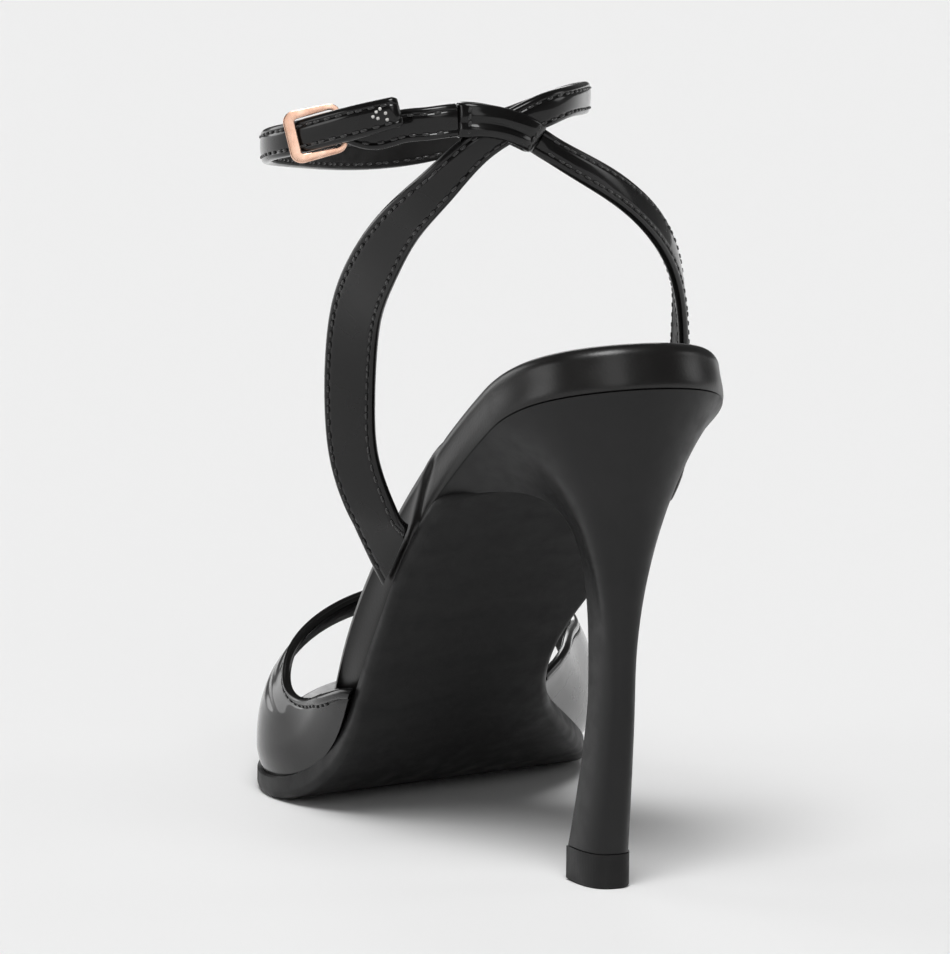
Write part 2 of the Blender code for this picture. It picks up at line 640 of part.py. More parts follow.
def seat_foot(s, side, directions):
    """Turns a strap's first frames to the edge of the sole, and returns the slant of its foot."""
    edge = unit(flank_point(s + MM, side) - flank_point(s - MM, side))
    run = float(edge @ directions[0][0])
    level = unit(edge - run * directions[0][0])
    sign = math.copysign(1.0, float(level @ directions[1][0]))
    for k, share in enumerate(FOOT_TURN):
        along = directions[0][k]
        across = unit(directions[1][k] * (1 - share) + sign * level * share)
        directions[1][k] = unit(across - along * float(across @ along))
        directions[2][k] = np.cross(directions[1][k], along)
    return sign * run / math.sqrt(1 - run ** 2)


LATERAL_ROOT = 67 * MM        # straps leave the sole here, along the feather line
MEDIAL_ROOT = 65 * MM
ROOT_LIFT = 0.12              # height of a strap's foot, as a share of the pad
ROOT_OUT = 1.0 * MM           # from the insole's flank to the middle of a strap's foot
FOOT_TURN = (1.0, 0.7, 0.35)  # how far the first frames of a strap turn to the sole's edge


def lateral_path():
    start = flank_point(LATERAL_ROOT, -1)[None]
    rows = LATERAL_RISE + ANKLE_LOOP
    width = np.concatenate([
        [LATERAL_WIDTH],
        LATERAL_WIDTH * column(LATERAL_RISE, "width"),
        ANKLE_WIDTH * column(ANKLE_LOOP, "width"),
    ])
    return smooth_path(
        np.concatenate([start, strap_points(rows)]),
        np.concatenate([[rows[0].facing], column(rows, "facing")]),
        width,
    )


def lateral_strap(material, collection):
    centre, facing, width = lateral_path()
    directions = frames(centre, facing)
    foot = seat_foot(LATERAL_ROOT, -1, directions)
    return ribbon("lateral_strap", centre, directions, width, material, collection, slant=(foot, 0.0))


def sleeve_frame():
    """The sleeve's middle, its along, across and out directions, and the slant of the strap inside it."""
    ends = strap_points(BAND[:3])
    along = unit(ends[2] - ends[0])
    turn = math.radians(BAND[1].facing)
    out = np.array([-math.sin(turn), -math.cos(turn), 0])
    across = unit(np.cross(along, out))
    out = np.cross(across, along)
    centre, facing, width = lateral_path()
    near = int(np.argmin(np.linalg.norm(centre - ends[1], axis=1)))
    run = unit(centre[near + 1] - centre[near - 1])
    middle = centre[near] + run * float((ends[1] - centre[near]) @ run) - out * SLEEVE_SET
    return middle, along, across, out, SLEEVE_SLANT * float(run @ along) / float(run @ across)


def sleeve(material, collection, count=28, steps=5):
    middle, along, across, out, slant = sleeve_frame()
    turn = np.linspace(0, 2 * math.pi, count, endpoint=False)
    level = np.sign(np.cos(turn)) * np.abs(np.cos(turn)) ** (2 / SLEEVE_POWER)
    height = np.sign(np.sin(turn)) * np.abs(np.sin(turn)) ** (2 / SLEEVE_POWER)
    rings = []
    for wall in (1.0, 0.0):
        for w in np.linspace(-1, 1, steps):
            puff = SLEEVE_PUFF * (1 - w ** 2)
            half_length = SLEEVE_LENGTH / 2 - (1 - wall) * SLEEVE_WALL
            half_height = STRAP_THICK / 2 + SLEEVE_ROOM + wall * SLEEVE_WALL + puff
            t = half_length * level + slant * w * SLEEVE_WIDTH / 2
            rings.append(middle + np.outer(t, along) + np.outer(half_height * height, out)
                         + across * w * SLEEVE_WIDTH / 2)
    rings = rings[:steps] + rings[steps:][::-1]
    faces = []
    for k in range(len(rings)):
        faces += band(k * count, (k + 1) % len(rings) * count, count)
    return make_object("sleeve", np.concatenate(rings), faces, material, collection)


def medial_strap(material, collection):
    start = flank_point(MEDIAL_ROOT, 1)[None]
    middle, along, across, out, slant = sleeve_frame()
    end = middle - along * (SLEEVE_LENGTH / 2 + END_GAP)
    centre, facing, width = smooth_path(
        np.concatenate([start, strap_points(MEDIAL_RISE), [end - along * END_RUN, end]]),
        np.concatenate([[MEDIAL_RISE[0].facing], column(MEDIAL_RISE, "facing"), [BAND[0].facing, BAND[1].facing]]),
        np.concatenate([[MEDIAL_WIDTH], MEDIAL_WIDTH * column(MEDIAL_RISE, "width"), [MEDIAL_END] * 2]),
    )
    directions = frames(centre, facing)
    for part, held in zip(directions, (along, across, out)):
        part[-1] = held
    foot = seat_foot(MEDIAL_ROOT, 1, directions)
    return ribbon("medial_strap", centre, directions, width, material, collection, slant=(foot, slant))


def buckle_frame():
    """The buckle's middle on the long strap, and the strap's along, across and out directions there."""
    centre, facing, width = lateral_path()
    along, across, out = frames(centre, facing)
    before, after = strap_points(ANKLE_LOOP[BUCKLE_ROW:BUCKLE_ROW + 2])
    target = before + (after - before) * BUCKLE_SHARE
    near = int(np.argmin(np.linalg.norm(centre - target, axis=1)))
    return centre[near], along[near], across[near], out[near]


BUCKLE_ROW = 13               # the buckle lies between this row of ANKLE_LOOP and the next,
BUCKLE_SHARE = 0.65           # this share of the way
WIRE = (  # corners of the wire's bevelled square section, in BUCKLE_BAR
    (1.0, 0.6), (0.6, 1.0), (-0.6, 1.0), (-1.0, 0.6), (-1.0, -0.6), (-0.6, -1.0), (0.6, -1.0), (1.0, -0.6),
)
WIRE_REACH = 1.17             # its corners' distance from its middle, in BUCKLE_BAR
OUTER_BAR = STRAP_THICK / 2 + 2 * GAP + BUCKLE_BAR
INNER_BAR = STRAP_THICK / 2 + 2 * GAP + FOLD_THICK + BUCKLE_BAR + BUCKLE_ROOM


def buckle(material, collection, corner_steps=4):
    middle, along, across, out = buckle_frame()
    half_u = BUCKLE_LENGTH / 2 - BUCKLE_BAR
    half_v = ANKLE_WIDTH / 2 + BUCKLE_SIDE + BUCKLE_BAR
    path = []
    for cu, cv, first in ((1, 1, 0), (-1, 1, 90), (-1, -1, 180), (1, -1, 270)):
        for turn in np.radians(np.linspace(first, first + 90, corner_steps)):
            path.append((cu * (half_u - BUCKLE_CORNER) + BUCKLE_CORNER * math.cos(turn),
                         cv * (half_v - BUCKLE_CORNER) + BUCKLE_CORNER * math.sin(turn)))
    path = np.array(path)
    count = len(path)
    lean = (OUTER_BAR + INNER_BAR) / (2 * half_u)
    centre = (middle + np.outer(path[:, 0], along) + np.outer(path[:, 1], across)
              + np.outer((OUTER_BAR - INNER_BAR) / 2 - lean * path[:, 0], out))
    tangent = unit(np.roll(centre, -1, 0) - np.roll(centre, 1, 0))
    plane = unit(np.cross(along - lean * out, across))
    side = unit(np.cross(tangent, plane))
    outer = np.clip((path[:, 0].min() + 2 * BUCKLE_CORNER - path[:, 0]) / (2 * BUCKLE_CORNER), 0, 1)
    points = []
    for k in range(count):
        wide = 1 + (BAR_WIDE - 1) * outer[k]
        for across_wire, up_wire in WIRE:
            points.append(centre[k] + (side[k] * across_wire * wide + plane * up_wire) * BUCKLE_BAR)
    faces = []
    for k in range(count):
        faces += [f[::-1] for f in band(k * 8, (k + 1) % count * 8, 8)]
    return make_object("buckle", np.array(points), faces, material, collection)


def buckle_strap(material, collection):
    middle, along, across, out, slant = sleeve_frame()
    start = middle + along * (SLEEVE_LENGTH / 2 + END_GAP)
    hold, b_along, b_across, b_out = buckle_frame()
    half_u = BUCKLE_LENGTH / 2 - BUCKLE_BAR
    bar = hold + b_along * half_u - b_out * INNER_BAR
    reach = WIRE_REACH * BUCKLE_BAR + GAP + FOLD_THICK / 2
    before_bar = bar + b_out * (reach - BUCKLE_ROOM) + b_along * BAR_RUN
    rows = BAND[3:]
    centre, facing, width = smooth_path(
        np.concatenate([[start, start + along * END_RUN], strap_points(rows), [before_bar]]),
        np.concatenate([[BAND[1].facing, BAND[2].facing], column(rows, "facing"), [BAND[-1].facing]]),
        np.full(len(rows) + 3, ANKLE_WIDTH),
    )
    directions = frames(centre, facing)
    for part, held in zip(directions, (along, across, out)):
        part[0] = held
    round_bar = np.radians(np.arange(0, 181, 30))
    curl = bar + reach * (np.outer(np.cos(round_bar), b_out) - np.outer(np.sin(round_bar), b_along))
    back = np.linspace(0, 1, 4)[1:]
    tail = curl[-1] + np.outer(back, b_along * FOLD_LENGTH + b_out * FOLD_CLOSE)
    turned = np.concatenate([curl, tail])
    heading = unit(np.gradient(turned, axis=0))
    heading[0] = -b_along
    sideways = np.repeat(-b_across[None], len(turned), 0)
    sideways *= np.sign(float(directions[1][-1] @ sideways[0]))
    outside = np.cross(sideways, heading)
    joined = [np.concatenate(pair) for pair in zip(directions, (heading, sideways, outside))]
    thick = np.concatenate([
        np.clip(np.linspace(STRAP_THICK, 2 * FOLD_THICK - STRAP_THICK, len(centre)), FOLD_THICK, STRAP_THICK),
        np.full(len(turned), FOLD_THICK),
    ])
    width = np.full(len(centre) + len(turned), ANKLE_WIDTH)
    width[len(centre):] = ANKLE_WIDTH - 2 * GAP
    centre = np.concatenate([centre, turned])
    return ribbon("buckle_strap", centre, joined, width, material, collection, thick=thick, slant=(slant, 0.0))


def material(name, colour, roughness, metallic=0.0):
    made = bpy.data.materials.new(name)
    made.use_nodes = True
    shader = made.node_tree.nodes["Principled BSDF"]
    shader.inputs["Base Color"].default_value = (*colour, 1.0)
    shader.inputs["Roughness"].default_value = roughness
    shader.inputs["Metallic"].default_value = metallic
    return made


def main():
    for obj in list(bpy.data.objects):
        bpy.data.objects.remove(obj)
    collection = bpy.data.collections.new("heeled_sandal")
    bpy.context.scene.collection.children.link(collection)
    patent = material("patent_leather", (0.012, 0.011, 0.011), 0.12)
    matte = material("matte_coating", (0.022, 0.022, 0.023), 0.55)
    rubber = material("sole_rubber", (0.02, 0.02, 0.021), 0.6)
    metal = material("rose_metal", (0.72, 0.40, 0.27), 0.22, 1.0)
    cover = material("insole_leather", (0.018, 0.017, 0.017), 0.35)
    insole(cover, collection)
    outsole(rubber, collection)
    heel(matte, collection)
    heel_tip(rubber, collection)
    vamp(patent, collection)
    lateral_strap(patent, collection)
    medial_strap(patent, collection)
    sleeve(patent, collection)
    buckle_strap(patent, collection)
    buckle(metal, collection)


main()
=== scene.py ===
"""The dressed sandal: patent leather, stitched straps, matte heel and sole, on a pale studio floor.

Frame: metres, +Y from heel to toe, +X to the inner side of the foot, +Z up. The origin is under the heel
tip's middle. The first half holds the shoe's own sizes and curves. The second half makes each piece in fine
detail on those curves, then adds the stitches, the materials, the light and the camera.
"""
import math
from collections import namedtuple

import bpy
import numpy as np
from mathutils import Matrix, Vector


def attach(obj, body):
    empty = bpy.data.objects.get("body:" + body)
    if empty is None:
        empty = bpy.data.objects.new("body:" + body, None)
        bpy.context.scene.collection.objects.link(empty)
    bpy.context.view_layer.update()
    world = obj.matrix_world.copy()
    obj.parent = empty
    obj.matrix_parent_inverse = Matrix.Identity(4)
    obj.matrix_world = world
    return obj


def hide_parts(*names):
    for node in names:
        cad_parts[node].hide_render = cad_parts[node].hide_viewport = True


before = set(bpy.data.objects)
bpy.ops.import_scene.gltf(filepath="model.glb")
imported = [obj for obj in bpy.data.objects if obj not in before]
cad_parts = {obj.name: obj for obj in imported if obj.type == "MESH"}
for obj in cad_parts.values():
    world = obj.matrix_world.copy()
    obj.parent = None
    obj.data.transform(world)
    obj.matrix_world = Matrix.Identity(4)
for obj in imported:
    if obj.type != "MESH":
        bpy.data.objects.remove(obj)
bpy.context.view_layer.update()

MM = 0.001

# The last and the sole
PLAN_LENGTH = 202 * MM        # back of the seat to the toe, seen from above
SEAT_HEIGHT = 95 * MM         # floor to the insole's underside at the back
BALL_WIDTH = 68 * MM          # insole across the ball
TOE_SPRING = 1.8 * MM         # rise of the toe over the tread
TREAD_SKEW = 0.30             # the ball's bending line runs forward towards the inner side
SOLE_THICK = 4.6 * MM         # outsole under the ball
SHANK_THICK = 2.2 * MM        # outsole under the arch
SOLE_ROUND = 1.6 * MM         # rounding of the outsole's lower edge
PAD_SEAT = 9.0 * MM           # padded insole at the seat
PAD_BALL = 5.0 * MM           # padded insole at the ball
PAD_ROUND = 2.6 * MM          # rounding of the insole's upper edge
SKEW_START = 0.20             # the bending line's slant grows from this share of the feather line
SKEW_RUN = 0.45               # and is full after this much more
SHANK_END = 0.30              # the outsole grows thicker from this share of the feather line
SHANK_FADE = 0.30             # and is full after this much more
GAP = 0.14 * MM               # between pieces that meet

# The heel
TIP_CENTRE = 15.5 * MM        # heel tip's middle, forward of the back of the seat
TIP_HEIGHT = 6.5 * MM
TIP_WIDTH = 9.6 * MM
TIP_LENGTH = 11.0 * MM
NECK_HEIGHT = 36 * MM         # the heel is slimmest here
NECK_WIDTH = 7.4 * MM
NECK_LENGTH = 8.8 * MM
NECK_CENTRE = 10.8 * MM       # neck's middle, forward of the back of the seat
HEEL_INSET = 0.3 * MM         # heel's top edge lies inside the insole's
FLANK = 51 * MM               # front of the heel's flanks, along the feather line
BREAST_HOLLOW = 8 * MM        # how far the heel's front edge curves back between its flanks
BREAST_POWER = 2.6            # squareness of that curve
BREAST_GAP = 1.2 * MM         # between the heel's front edge and the outsole's back end

# The toe band
VAMP_WALL = 1.6 * MM
VAMP_GAP = 0.45 * MM          # between the band and the insole's flank
VAMP_LIFT = 0.35 * MM         # band's lower edge over the feather line
VAMP_RISE = 35.5 * MM         # top of the band over the feather line

# The straps
STRAP_THICK = 2.0 * MM
LATERAL_WIDTH = 10.6 * MM     # outer strap where it leaves the sole
ANKLE_WIDTH = 6.1 * MM        # straps round the ankle
MEDIAL_WIDTH = 8 * MM         # inner strap where it leaves the sole
MEDIAL_END = 5 * MM           # and where it is sewn to the sleeve
LOOP_HEIGHT = 142 * MM        # height that the strap tables share
LOOP_WIDTH = 64 * MM          # ankle loop across the foot
LOOP_LENGTH = 72 * MM         # ankle loop along the foot
LOOP_X = -26 * MM             # the empty loop leans outwards
LOOP_Y = 30 * MM              # loop's middle, forward of the heel tip's middle
SLEEVE_LENGTH = 16.4 * MM
SLEEVE_WIDTH = 5.9 * MM
END_RUN = 1.2 * MM            # straight run of the two straps sewn to the sleeve
END_GAP = 0.15 * MM            # between the sleeve and those two straps
SLEEVE_WALL = 1.1 * MM
SLEEVE_ROOM = 1.0 * MM        # between the sleeve and the strap inside it
SLEEVE_PUFF = 0.45 * MM       # the sleeve's faces stand out this far in the middle
SLEEVE_SLANT = 0.1            # how far its ends lean towards the strap inside it
SLEEVE_POWER = 2.5            # squareness of its section
SLEEVE_SET = 0.25 * MM        # the sleeve sits this far towards the ankle from the strap's middle

# The buckle
BUCKLE_LENGTH = 8.0 * MM
BUCKLE_BAR = 0.55 * MM        # half the thickness of its wire
BAR_WIDE = 1.9                # its outer bar is this much wider than the rest
BUCKLE_CORNER = 1.2 * MM
FOLD_LENGTH = 7 * MM          # the short strap is turned back this far round the buckle's bar
FOLD_THICK = 1.3 * MM
FOLD_CLOSE = 0.9 * MM         # the fold's end comes this much nearer to its strap
BAR_RUN = 2 * MM              # the short strap runs straight this far before the bar
BUCKLE_SIDE = 0.45 * MM       # between the strap's edges and the buckle
BUCKLE_ROOM = 0.8 * MM        # more room under the curved strap

Profile = namedtuple("Profile", "along up spring", defaults=(0.0,))
PROFILE = (  # shares of PLAN_LENGTH, of the rise from tread to seat, and of TOE_SPRING
    Profile(0.00, 1.000),
    Profile(0.06, 0.955),
    Profile(0.12, 0.885),
    Profile(0.18, 0.785),
    Profile(0.25, 0.635),
    Profile(0.32, 0.465),
    Profile(0.39, 0.300),
    Profile(0.46, 0.152),
    Profile(0.53, 0.050),
    Profile(0.60, 0.005),
    Profile(0.67, -0.002),
    Profile(0.76, -0.002, 0.03),
    Profile(0.84, 0.000, 0.20),
    Profile(0.92, 0.000, 0.55),
    Profile(1.00, 0.000, 1.00),
)

Outline = namedtuple("Outline", "along centre half flare edge pad")
# Shares of the feather line, of half BALL_WIDTH (centre, half, flare, edge) and of the pad's taper.
OUTLINE = (
    Outline(0.00, 0.05, 0.665, 0.00, 0.00, 1.00),
    Outline(0.10, 0.05, 0.665, 0.00, 0.00, 1.00),
    Outline(0.20, 0.00, 0.700, 0.01, 0.00, 0.90),
    Outline(0.28, -0.062, 0.722, 0.03, 0.00, 0.78),
    Outline(0.35, -0.127, 0.707, 0.07, 0.00, 0.66),
    Outline(0.42, -0.163, 0.666, 0.08, 0.01, 0.54),
    Outline(0.50, -0.100, 0.670, 0.07, 0.04, 0.46),
    Outline(0.56, -0.012, 0.762, 0.05, 0.07, 0.32),
    Outline(0.65, 0.145, 0.955, 0.03, 0.09, 0.02),
    Outline(0.72, 0.32, 0.945, 0.02, 0.09, -0.30),
    Outline(0.80, 0.47, 0.845, 0.02, 0.09, -0.50),
    Outline(0.90, 0.62, 0.710, 0.02, 0.09, -0.60),
    Outline(1.00, 0.76, 0.520, 0.02, 0.09, -0.65),
)
SEAT_ROUND = 25 * MM          # length of the seat's round end
TOE_ROUND = 38 * MM           # length of the toe's round end
TOE_POWER = 2.3               # squareness of the toe

Arch = namedtuple("Arch", "along rise ridge")
ARCH = (  # shares of the feather line, of VAMP_RISE, and of the half width from the middle to the ridge
    Arch(0.42, 1.22, 0.10),
    Arch(0.52, 1.14, 0.16),
    Arch(0.60, 1.03, 0.22),
    Arch(0.68, 0.92, 0.26),
    Arch(0.76, 0.80, 0.26),
    Arch(0.84, 0.68, 0.22),
)

Edge = namedtuple("Edge", "across throat front")
EDGES = (  # across from the outer side (0) to the inner (1); the rest are shares of the feather line
    Edge(0.00, 0.434, 0.745),
    Edge(0.04, 0.498, 0.750),
    Edge(0.09, 0.565, 0.755),
    Edge(0.15, 0.598, 0.762),
    Edge(0.24, 0.624, 0.772),
    Edge(0.36, 0.637, 0.780),
    Edge(0.52, 0.640, 0.785),
    Edge(0.68, 0.630, 0.785),
    Edge(0.80, 0.625, 0.780),
    Edge(0.89, 0.580, 0.772),
    Edge(0.95, 0.525, 0.765),
    Edge(1.00, 0.480, 0.760),
)

Strap = namedtuple("Strap", "x y z facing width", defaults=(1.0,))
# x and y are shares of half LOOP_WIDTH and half LOOP_LENGTH from the loop's middle, z of LOOP_HEIGHT.
# facing turns the outer face from backwards to outwards, in degrees. width is a share of the strap's width.
LATERAL_RISE = (
    Strap(-0.19, 0.19, 0.460, 56),
    Strap(-0.32, 0.19, 0.535, 54),
    Strap(-0.37, 0.16, 0.609, 50),
    Strap(-0.40, 0.08, 0.681, 45, 0.99),
    Strap(-0.435, -0.08, 0.747, 40, 0.97),
    Strap(-0.447, -0.33, 0.809, 34, 0.93),
    Strap(-0.40, -0.62, 0.875, 26, 0.80),
    Strap(-0.285, -0.87, 0.930, 14, 0.69),
    Strap(-0.085, -0.975, 0.982, 3, 0.59),
    Strap(0.05, -0.985, 1.001, -2, 0.57),
    Strap(0.175, -0.985, 1.014, -5, 0.57),
    Strap(0.31, -0.970, 1.025, -9, 0.60),
)
ANKLE_LOOP = (
    Strap(0.435, -0.91, 1.031, -18),
    Strap(0.68, -0.64, 1.031, -42),
    Strap(0.87, -0.31, 1.025, -66),
    Strap(0.98, 0.20, 1.007, -100),
    Strap(0.91, 0.64, 0.976, -130),
    Strap(0.68, 0.88, 0.948, -148),
    Strap(0.38, 0.98, 0.930, -166),
    Strap(0.06, 0.93, 0.926, -184),
    Strap(-0.27, 0.75, 0.932, -204),
    Strap(-0.59, 0.48, 0.943, -226),
    Strap(-0.85, 0.20, 0.954, -248),
    Strap(-1.00, -0.07, 0.964, -270),
    Strap(-1.06, -0.32, 0.975, -288),
    Strap(-1.03, -0.52, 0.985, -303),
    Strap(-0.93, -0.69, 0.998, -316),
    Strap(-0.77, -0.86, 1.014, -328),
    Strap(-0.58, -0.99, 1.029, -338, 0.92),
)
MEDIAL_RISE = (
    Strap(1.68, 0.13, 0.510, -88),
    Strap(1.66, 0.00, 0.600, -86),
    Strap(1.58, -0.16, 0.690, -82),
    Strap(1.46, -0.37, 0.772, -74, 0.97),
    Strap(1.31, -0.54, 0.828, -69, 0.92),
    Strap(1.11, -0.69, 0.874, -62, 0.85),
    Strap(0.82, -0.84, 0.919, -50, 0.76),
    Strap(0.53, -0.95, 0.953, -32, 0.68),
)
BAND = (
    Strap(0.245, -0.985, 0.985, -12),
    Strap(0.00, -0.985, 1.001, -3),
    Strap(-0.245, -0.985, 1.013, 5),
    Strap(-0.39, -0.95, 1.011, 13),
    Strap(-0.52, -0.87, 1.006, 22),
    Strap(-0.66, -0.77, 0.996, 31),
)


def column(rows, name):
    return np.array([getattr(row, name) for row in rows])


def spline(knots, values):
    """A natural cubic spline through the values, and its slope."""
    knots, values = np.asarray(knots, float), np.asarray(values, float)
    step = np.diff(knots)
    count = len(knots)
    matrix, right = np.eye(count), np.zeros(count)
    for i in range(1, count - 1):
        matrix[i, i - 1:i + 2] = step[i - 1], 2 * (step[i - 1] + step[i]), step[i]
        right[i] = 6 * ((values[i + 1] - values[i]) / step[i] - (values[i] - values[i - 1]) / step[i - 1])
    bend = np.linalg.solve(matrix, right)

    def at(x, slope=False):
        x = np.asarray(x, float)
        i = np.clip(np.searchsorted(knots, x) - 1, 0, count - 2)
        h = step[i]
        a, b = (knots[i + 1] - x) / h, (x - knots[i]) / h
        if slope:
            tilt = (values[i + 1] - values[i]) / h
            return tilt + h / 6 * ((3 * b ** 2 - 1) * bend[i + 1] - (3 * a ** 2 - 1) * bend[i])
        curve = (a ** 3 - a) * bend[i] + (b ** 3 - b) * bend[i + 1]
        return a * values[i] + b * values[i + 1] + curve * h ** 2 / 6

    return at


TREAD_DIP = 0.25 * MM         # the outsole is trimmed flat where it would dip under the floor
RISE = SEAT_HEIGHT - SOLE_THICK
profile_z = spline(
    column(PROFILE, "along") * PLAN_LENGTH,
    SOLE_THICK - TREAD_DIP
    + column(PROFILE, "up") * (RISE + TREAD_DIP)
    + column(PROFILE, "spring") * TOE_SPRING,
)
_plan = np.linspace(0, PLAN_LENGTH, 800)
_steps = np.hypot(np.diff(_plan), np.diff(profile_z(_plan)))
_lengths = np.concatenate([[0], np.cumsum(_steps)])
FEATHER = _lengths[-1]        # length of the feather line
HALF_BALL = BALL_WIDTH / 2

OUTLINE_AT = column(OUTLINE, "along") * FEATHER
centre_at, half_at, flare_at, edge_at = (
    spline(OUTLINE_AT, column(OUTLINE, name) * HALF_BALL) for name in ("centre", "half", "flare", "edge")
)
pad_at = spline(OUTLINE_AT, PAD_BALL + column(OUTLINE, "pad") * (PAD_SEAT - PAD_BALL))


def ease(share):
    """Grows smoothly from 0 to 1, and holds both outside them."""
    share = np.clip(share, 0, 1)
    return share ** 2 * (3 - 2 * share)


def on_sole(s, x, n):
    """The point s along the feather line, x across, and n out from it, square to the sole."""
    y = np.interp(s, _lengths, _plan) + np.minimum(s, 0) + np.maximum(s - FEATHER, 0)
    bent = y - TREAD_SKEW * ease((s / FEATHER - SKEW_START) / SKEW_RUN) * x
    held = np.clip(bent, 0, PLAN_LENGTH)
    slope = profile_z(held, slope=True)
    length = np.sqrt(1 + slope ** 2)
    z = profile_z(held) + slope * (bent - held)
    return np.stack([x + 0 * y, y - slope / length * n - TIP_CENTRE, z + n / length], -1)


def round_end(distance, length, power=2.0):
    """Share of the full width at this distance from a round end."""
    share = np.clip(distance / length, 0, 1)
    return (1 - (1 - share) ** power) ** (1 / power)


def insole_edge(s):
    """Outer and inner edge of the insole at its widest."""
    half = half_at(s) * round_end(s, SEAT_ROUND) * round_end(FEATHER - s, TOE_ROUND, TOE_POWER)
    return centre_at(s) - half, centre_at(s) + half


def stations(count, start=0.0, crowd=0.74):
    """Distances along the sole, closer together at both ends."""
    t = np.linspace(0, 1, count)
    return start + (FEATHER - start) * (t - crowd * np.sin(2 * math.pi * t) / (2 * math.pi))


def inset_outline(s, inset):
    """The insole's outline moved in by inset(s): its outer and inner side, each as (s, x) rows."""
    outer, inner = insole_edge(s)
    loop = np.concatenate([np.stack([s, outer], 1), np.stack([s, inner], 1)[-2:0:-1]])
    tangent = np.roll(loop, -1, 0) - np.roll(loop, 1, 0)
    tangent /= np.linalg.norm(tangent, axis=1)[:, None]
    inward = np.stack([-tangent[:, 1], tangent[:, 0]], 1)
    loop = loop + inward * inset(loop[:, 0])[:, None]
    count = len(s)
    return loop[:count], np.concatenate([loop[:1], loop[:count - 1:-1], loop[count - 1:count]])


def band(first, second, count, closed=True):
    """Quads between two rows of points, given where each row starts."""
    last = count if closed else count - 1
    return [(first + i, first + (i + 1) % count, second + (i + 1) % count, second + i) for i in range(last)]


CAP_STEPS = 26                # strips across the faces of the soles


def slab(name, layers, place, count, material):
    """A solid of stacked rings. A layer is an outline's two sides and its lift; place sets its points."""
    size = 2 * count - 2
    points, faces = [], []
    for (outer, inner), lift in layers:
        loop = np.concatenate([outer, inner[-2:0:-1]])
        points.append(place(loop[:, 0], loop[:, 1], lift))
    for k in range(len(layers) - 1):
        faces += [f[::-1] for f in band(k * size, (k + 1) * size, size)]
    for layer, turn in ((0, -1), (len(layers) - 1, 1)):
        (outer, inner), lift = layers[layer]
        start = layer * size
        first = sum(len(p) for p in points)
        columns = [[start + i for i in range(count)]]
        for step in range(1, CAP_STEPS):
            share = step / CAP_STEPS
            row = (outer + (inner - outer) * share)[1:-1]
            points.append(place(row[:, 0], row[:, 1], lift))
            inside = [first + (step - 1) * (count - 2) + i for i in range(count - 2)]
            columns.append([start, *inside, start + count - 1])
        columns.append([start, *(start + size - i for i in range(1, count - 1)), start + count - 1])
        for left, right in zip(columns, columns[1:]):
            for i in range(count - 1):
                corners = list(dict.fromkeys([left[i], right[i], right[i + 1], left[i + 1]]))
                faces.append(tuple(corners[::turn]))
    return make_object(name, np.concatenate(points), faces, material)


def sole_thick(s):
    """The outsole's thickness at s along the feather line."""
    return SHANK_THICK + (SOLE_THICK - SHANK_THICK) * ease((s / FEATHER - SHANK_END) / SHANK_FADE)


SECTION_POWER = 2.8           # squareness of the heel's and the tip's back
FRONT_BULGE = 0.06            # their front stands out by this share of their length
FLANK_CROWD = 1.6             # rings' points lie closer together towards the back of the seat
FLANK_PAST = 1.2              # the outline is followed to this many times FLANK
HEEL_DROPS = np.linspace(0.015, 1, 46) ** 1.25  # rings from the seat to the neck
STEM_STEPS = np.linspace(0, 1, 19)[1:]  # rings from the neck to the tip
STEM_FLARE = 1.35             # how late the heel widens towards its tip
BACK_POWER = (2.0, 1.9)       # how fast the heel's back closes in on the neck, across and along
FLANK_POWER = (4.0, 0.9)      # how much faster its flanks do


def signed_power(value, power):
    return np.sign(value) * np.abs(value) ** power


def heel_section(half_width, length, middle, count, front_count):
    """A heel section seen from above, round at the back and flat in front, from its front outer corner."""
    turn = np.linspace(0, math.pi, count)
    x = -half_width * signed_power(np.cos(turn), 2 / SECTION_POWER)
    y = middle + length / 2 - length * np.abs(np.sin(turn)) ** (2 / SECTION_POWER)
    front = np.linspace(1, -1, front_count + 2)[1:-1]
    bulge = FRONT_BULGE * length * (1 - front ** 2)
    return np.concatenate([
        np.stack([x, y], 1),
        np.stack([half_width * front, middle + length / 2 + bulge], 1),
    ])


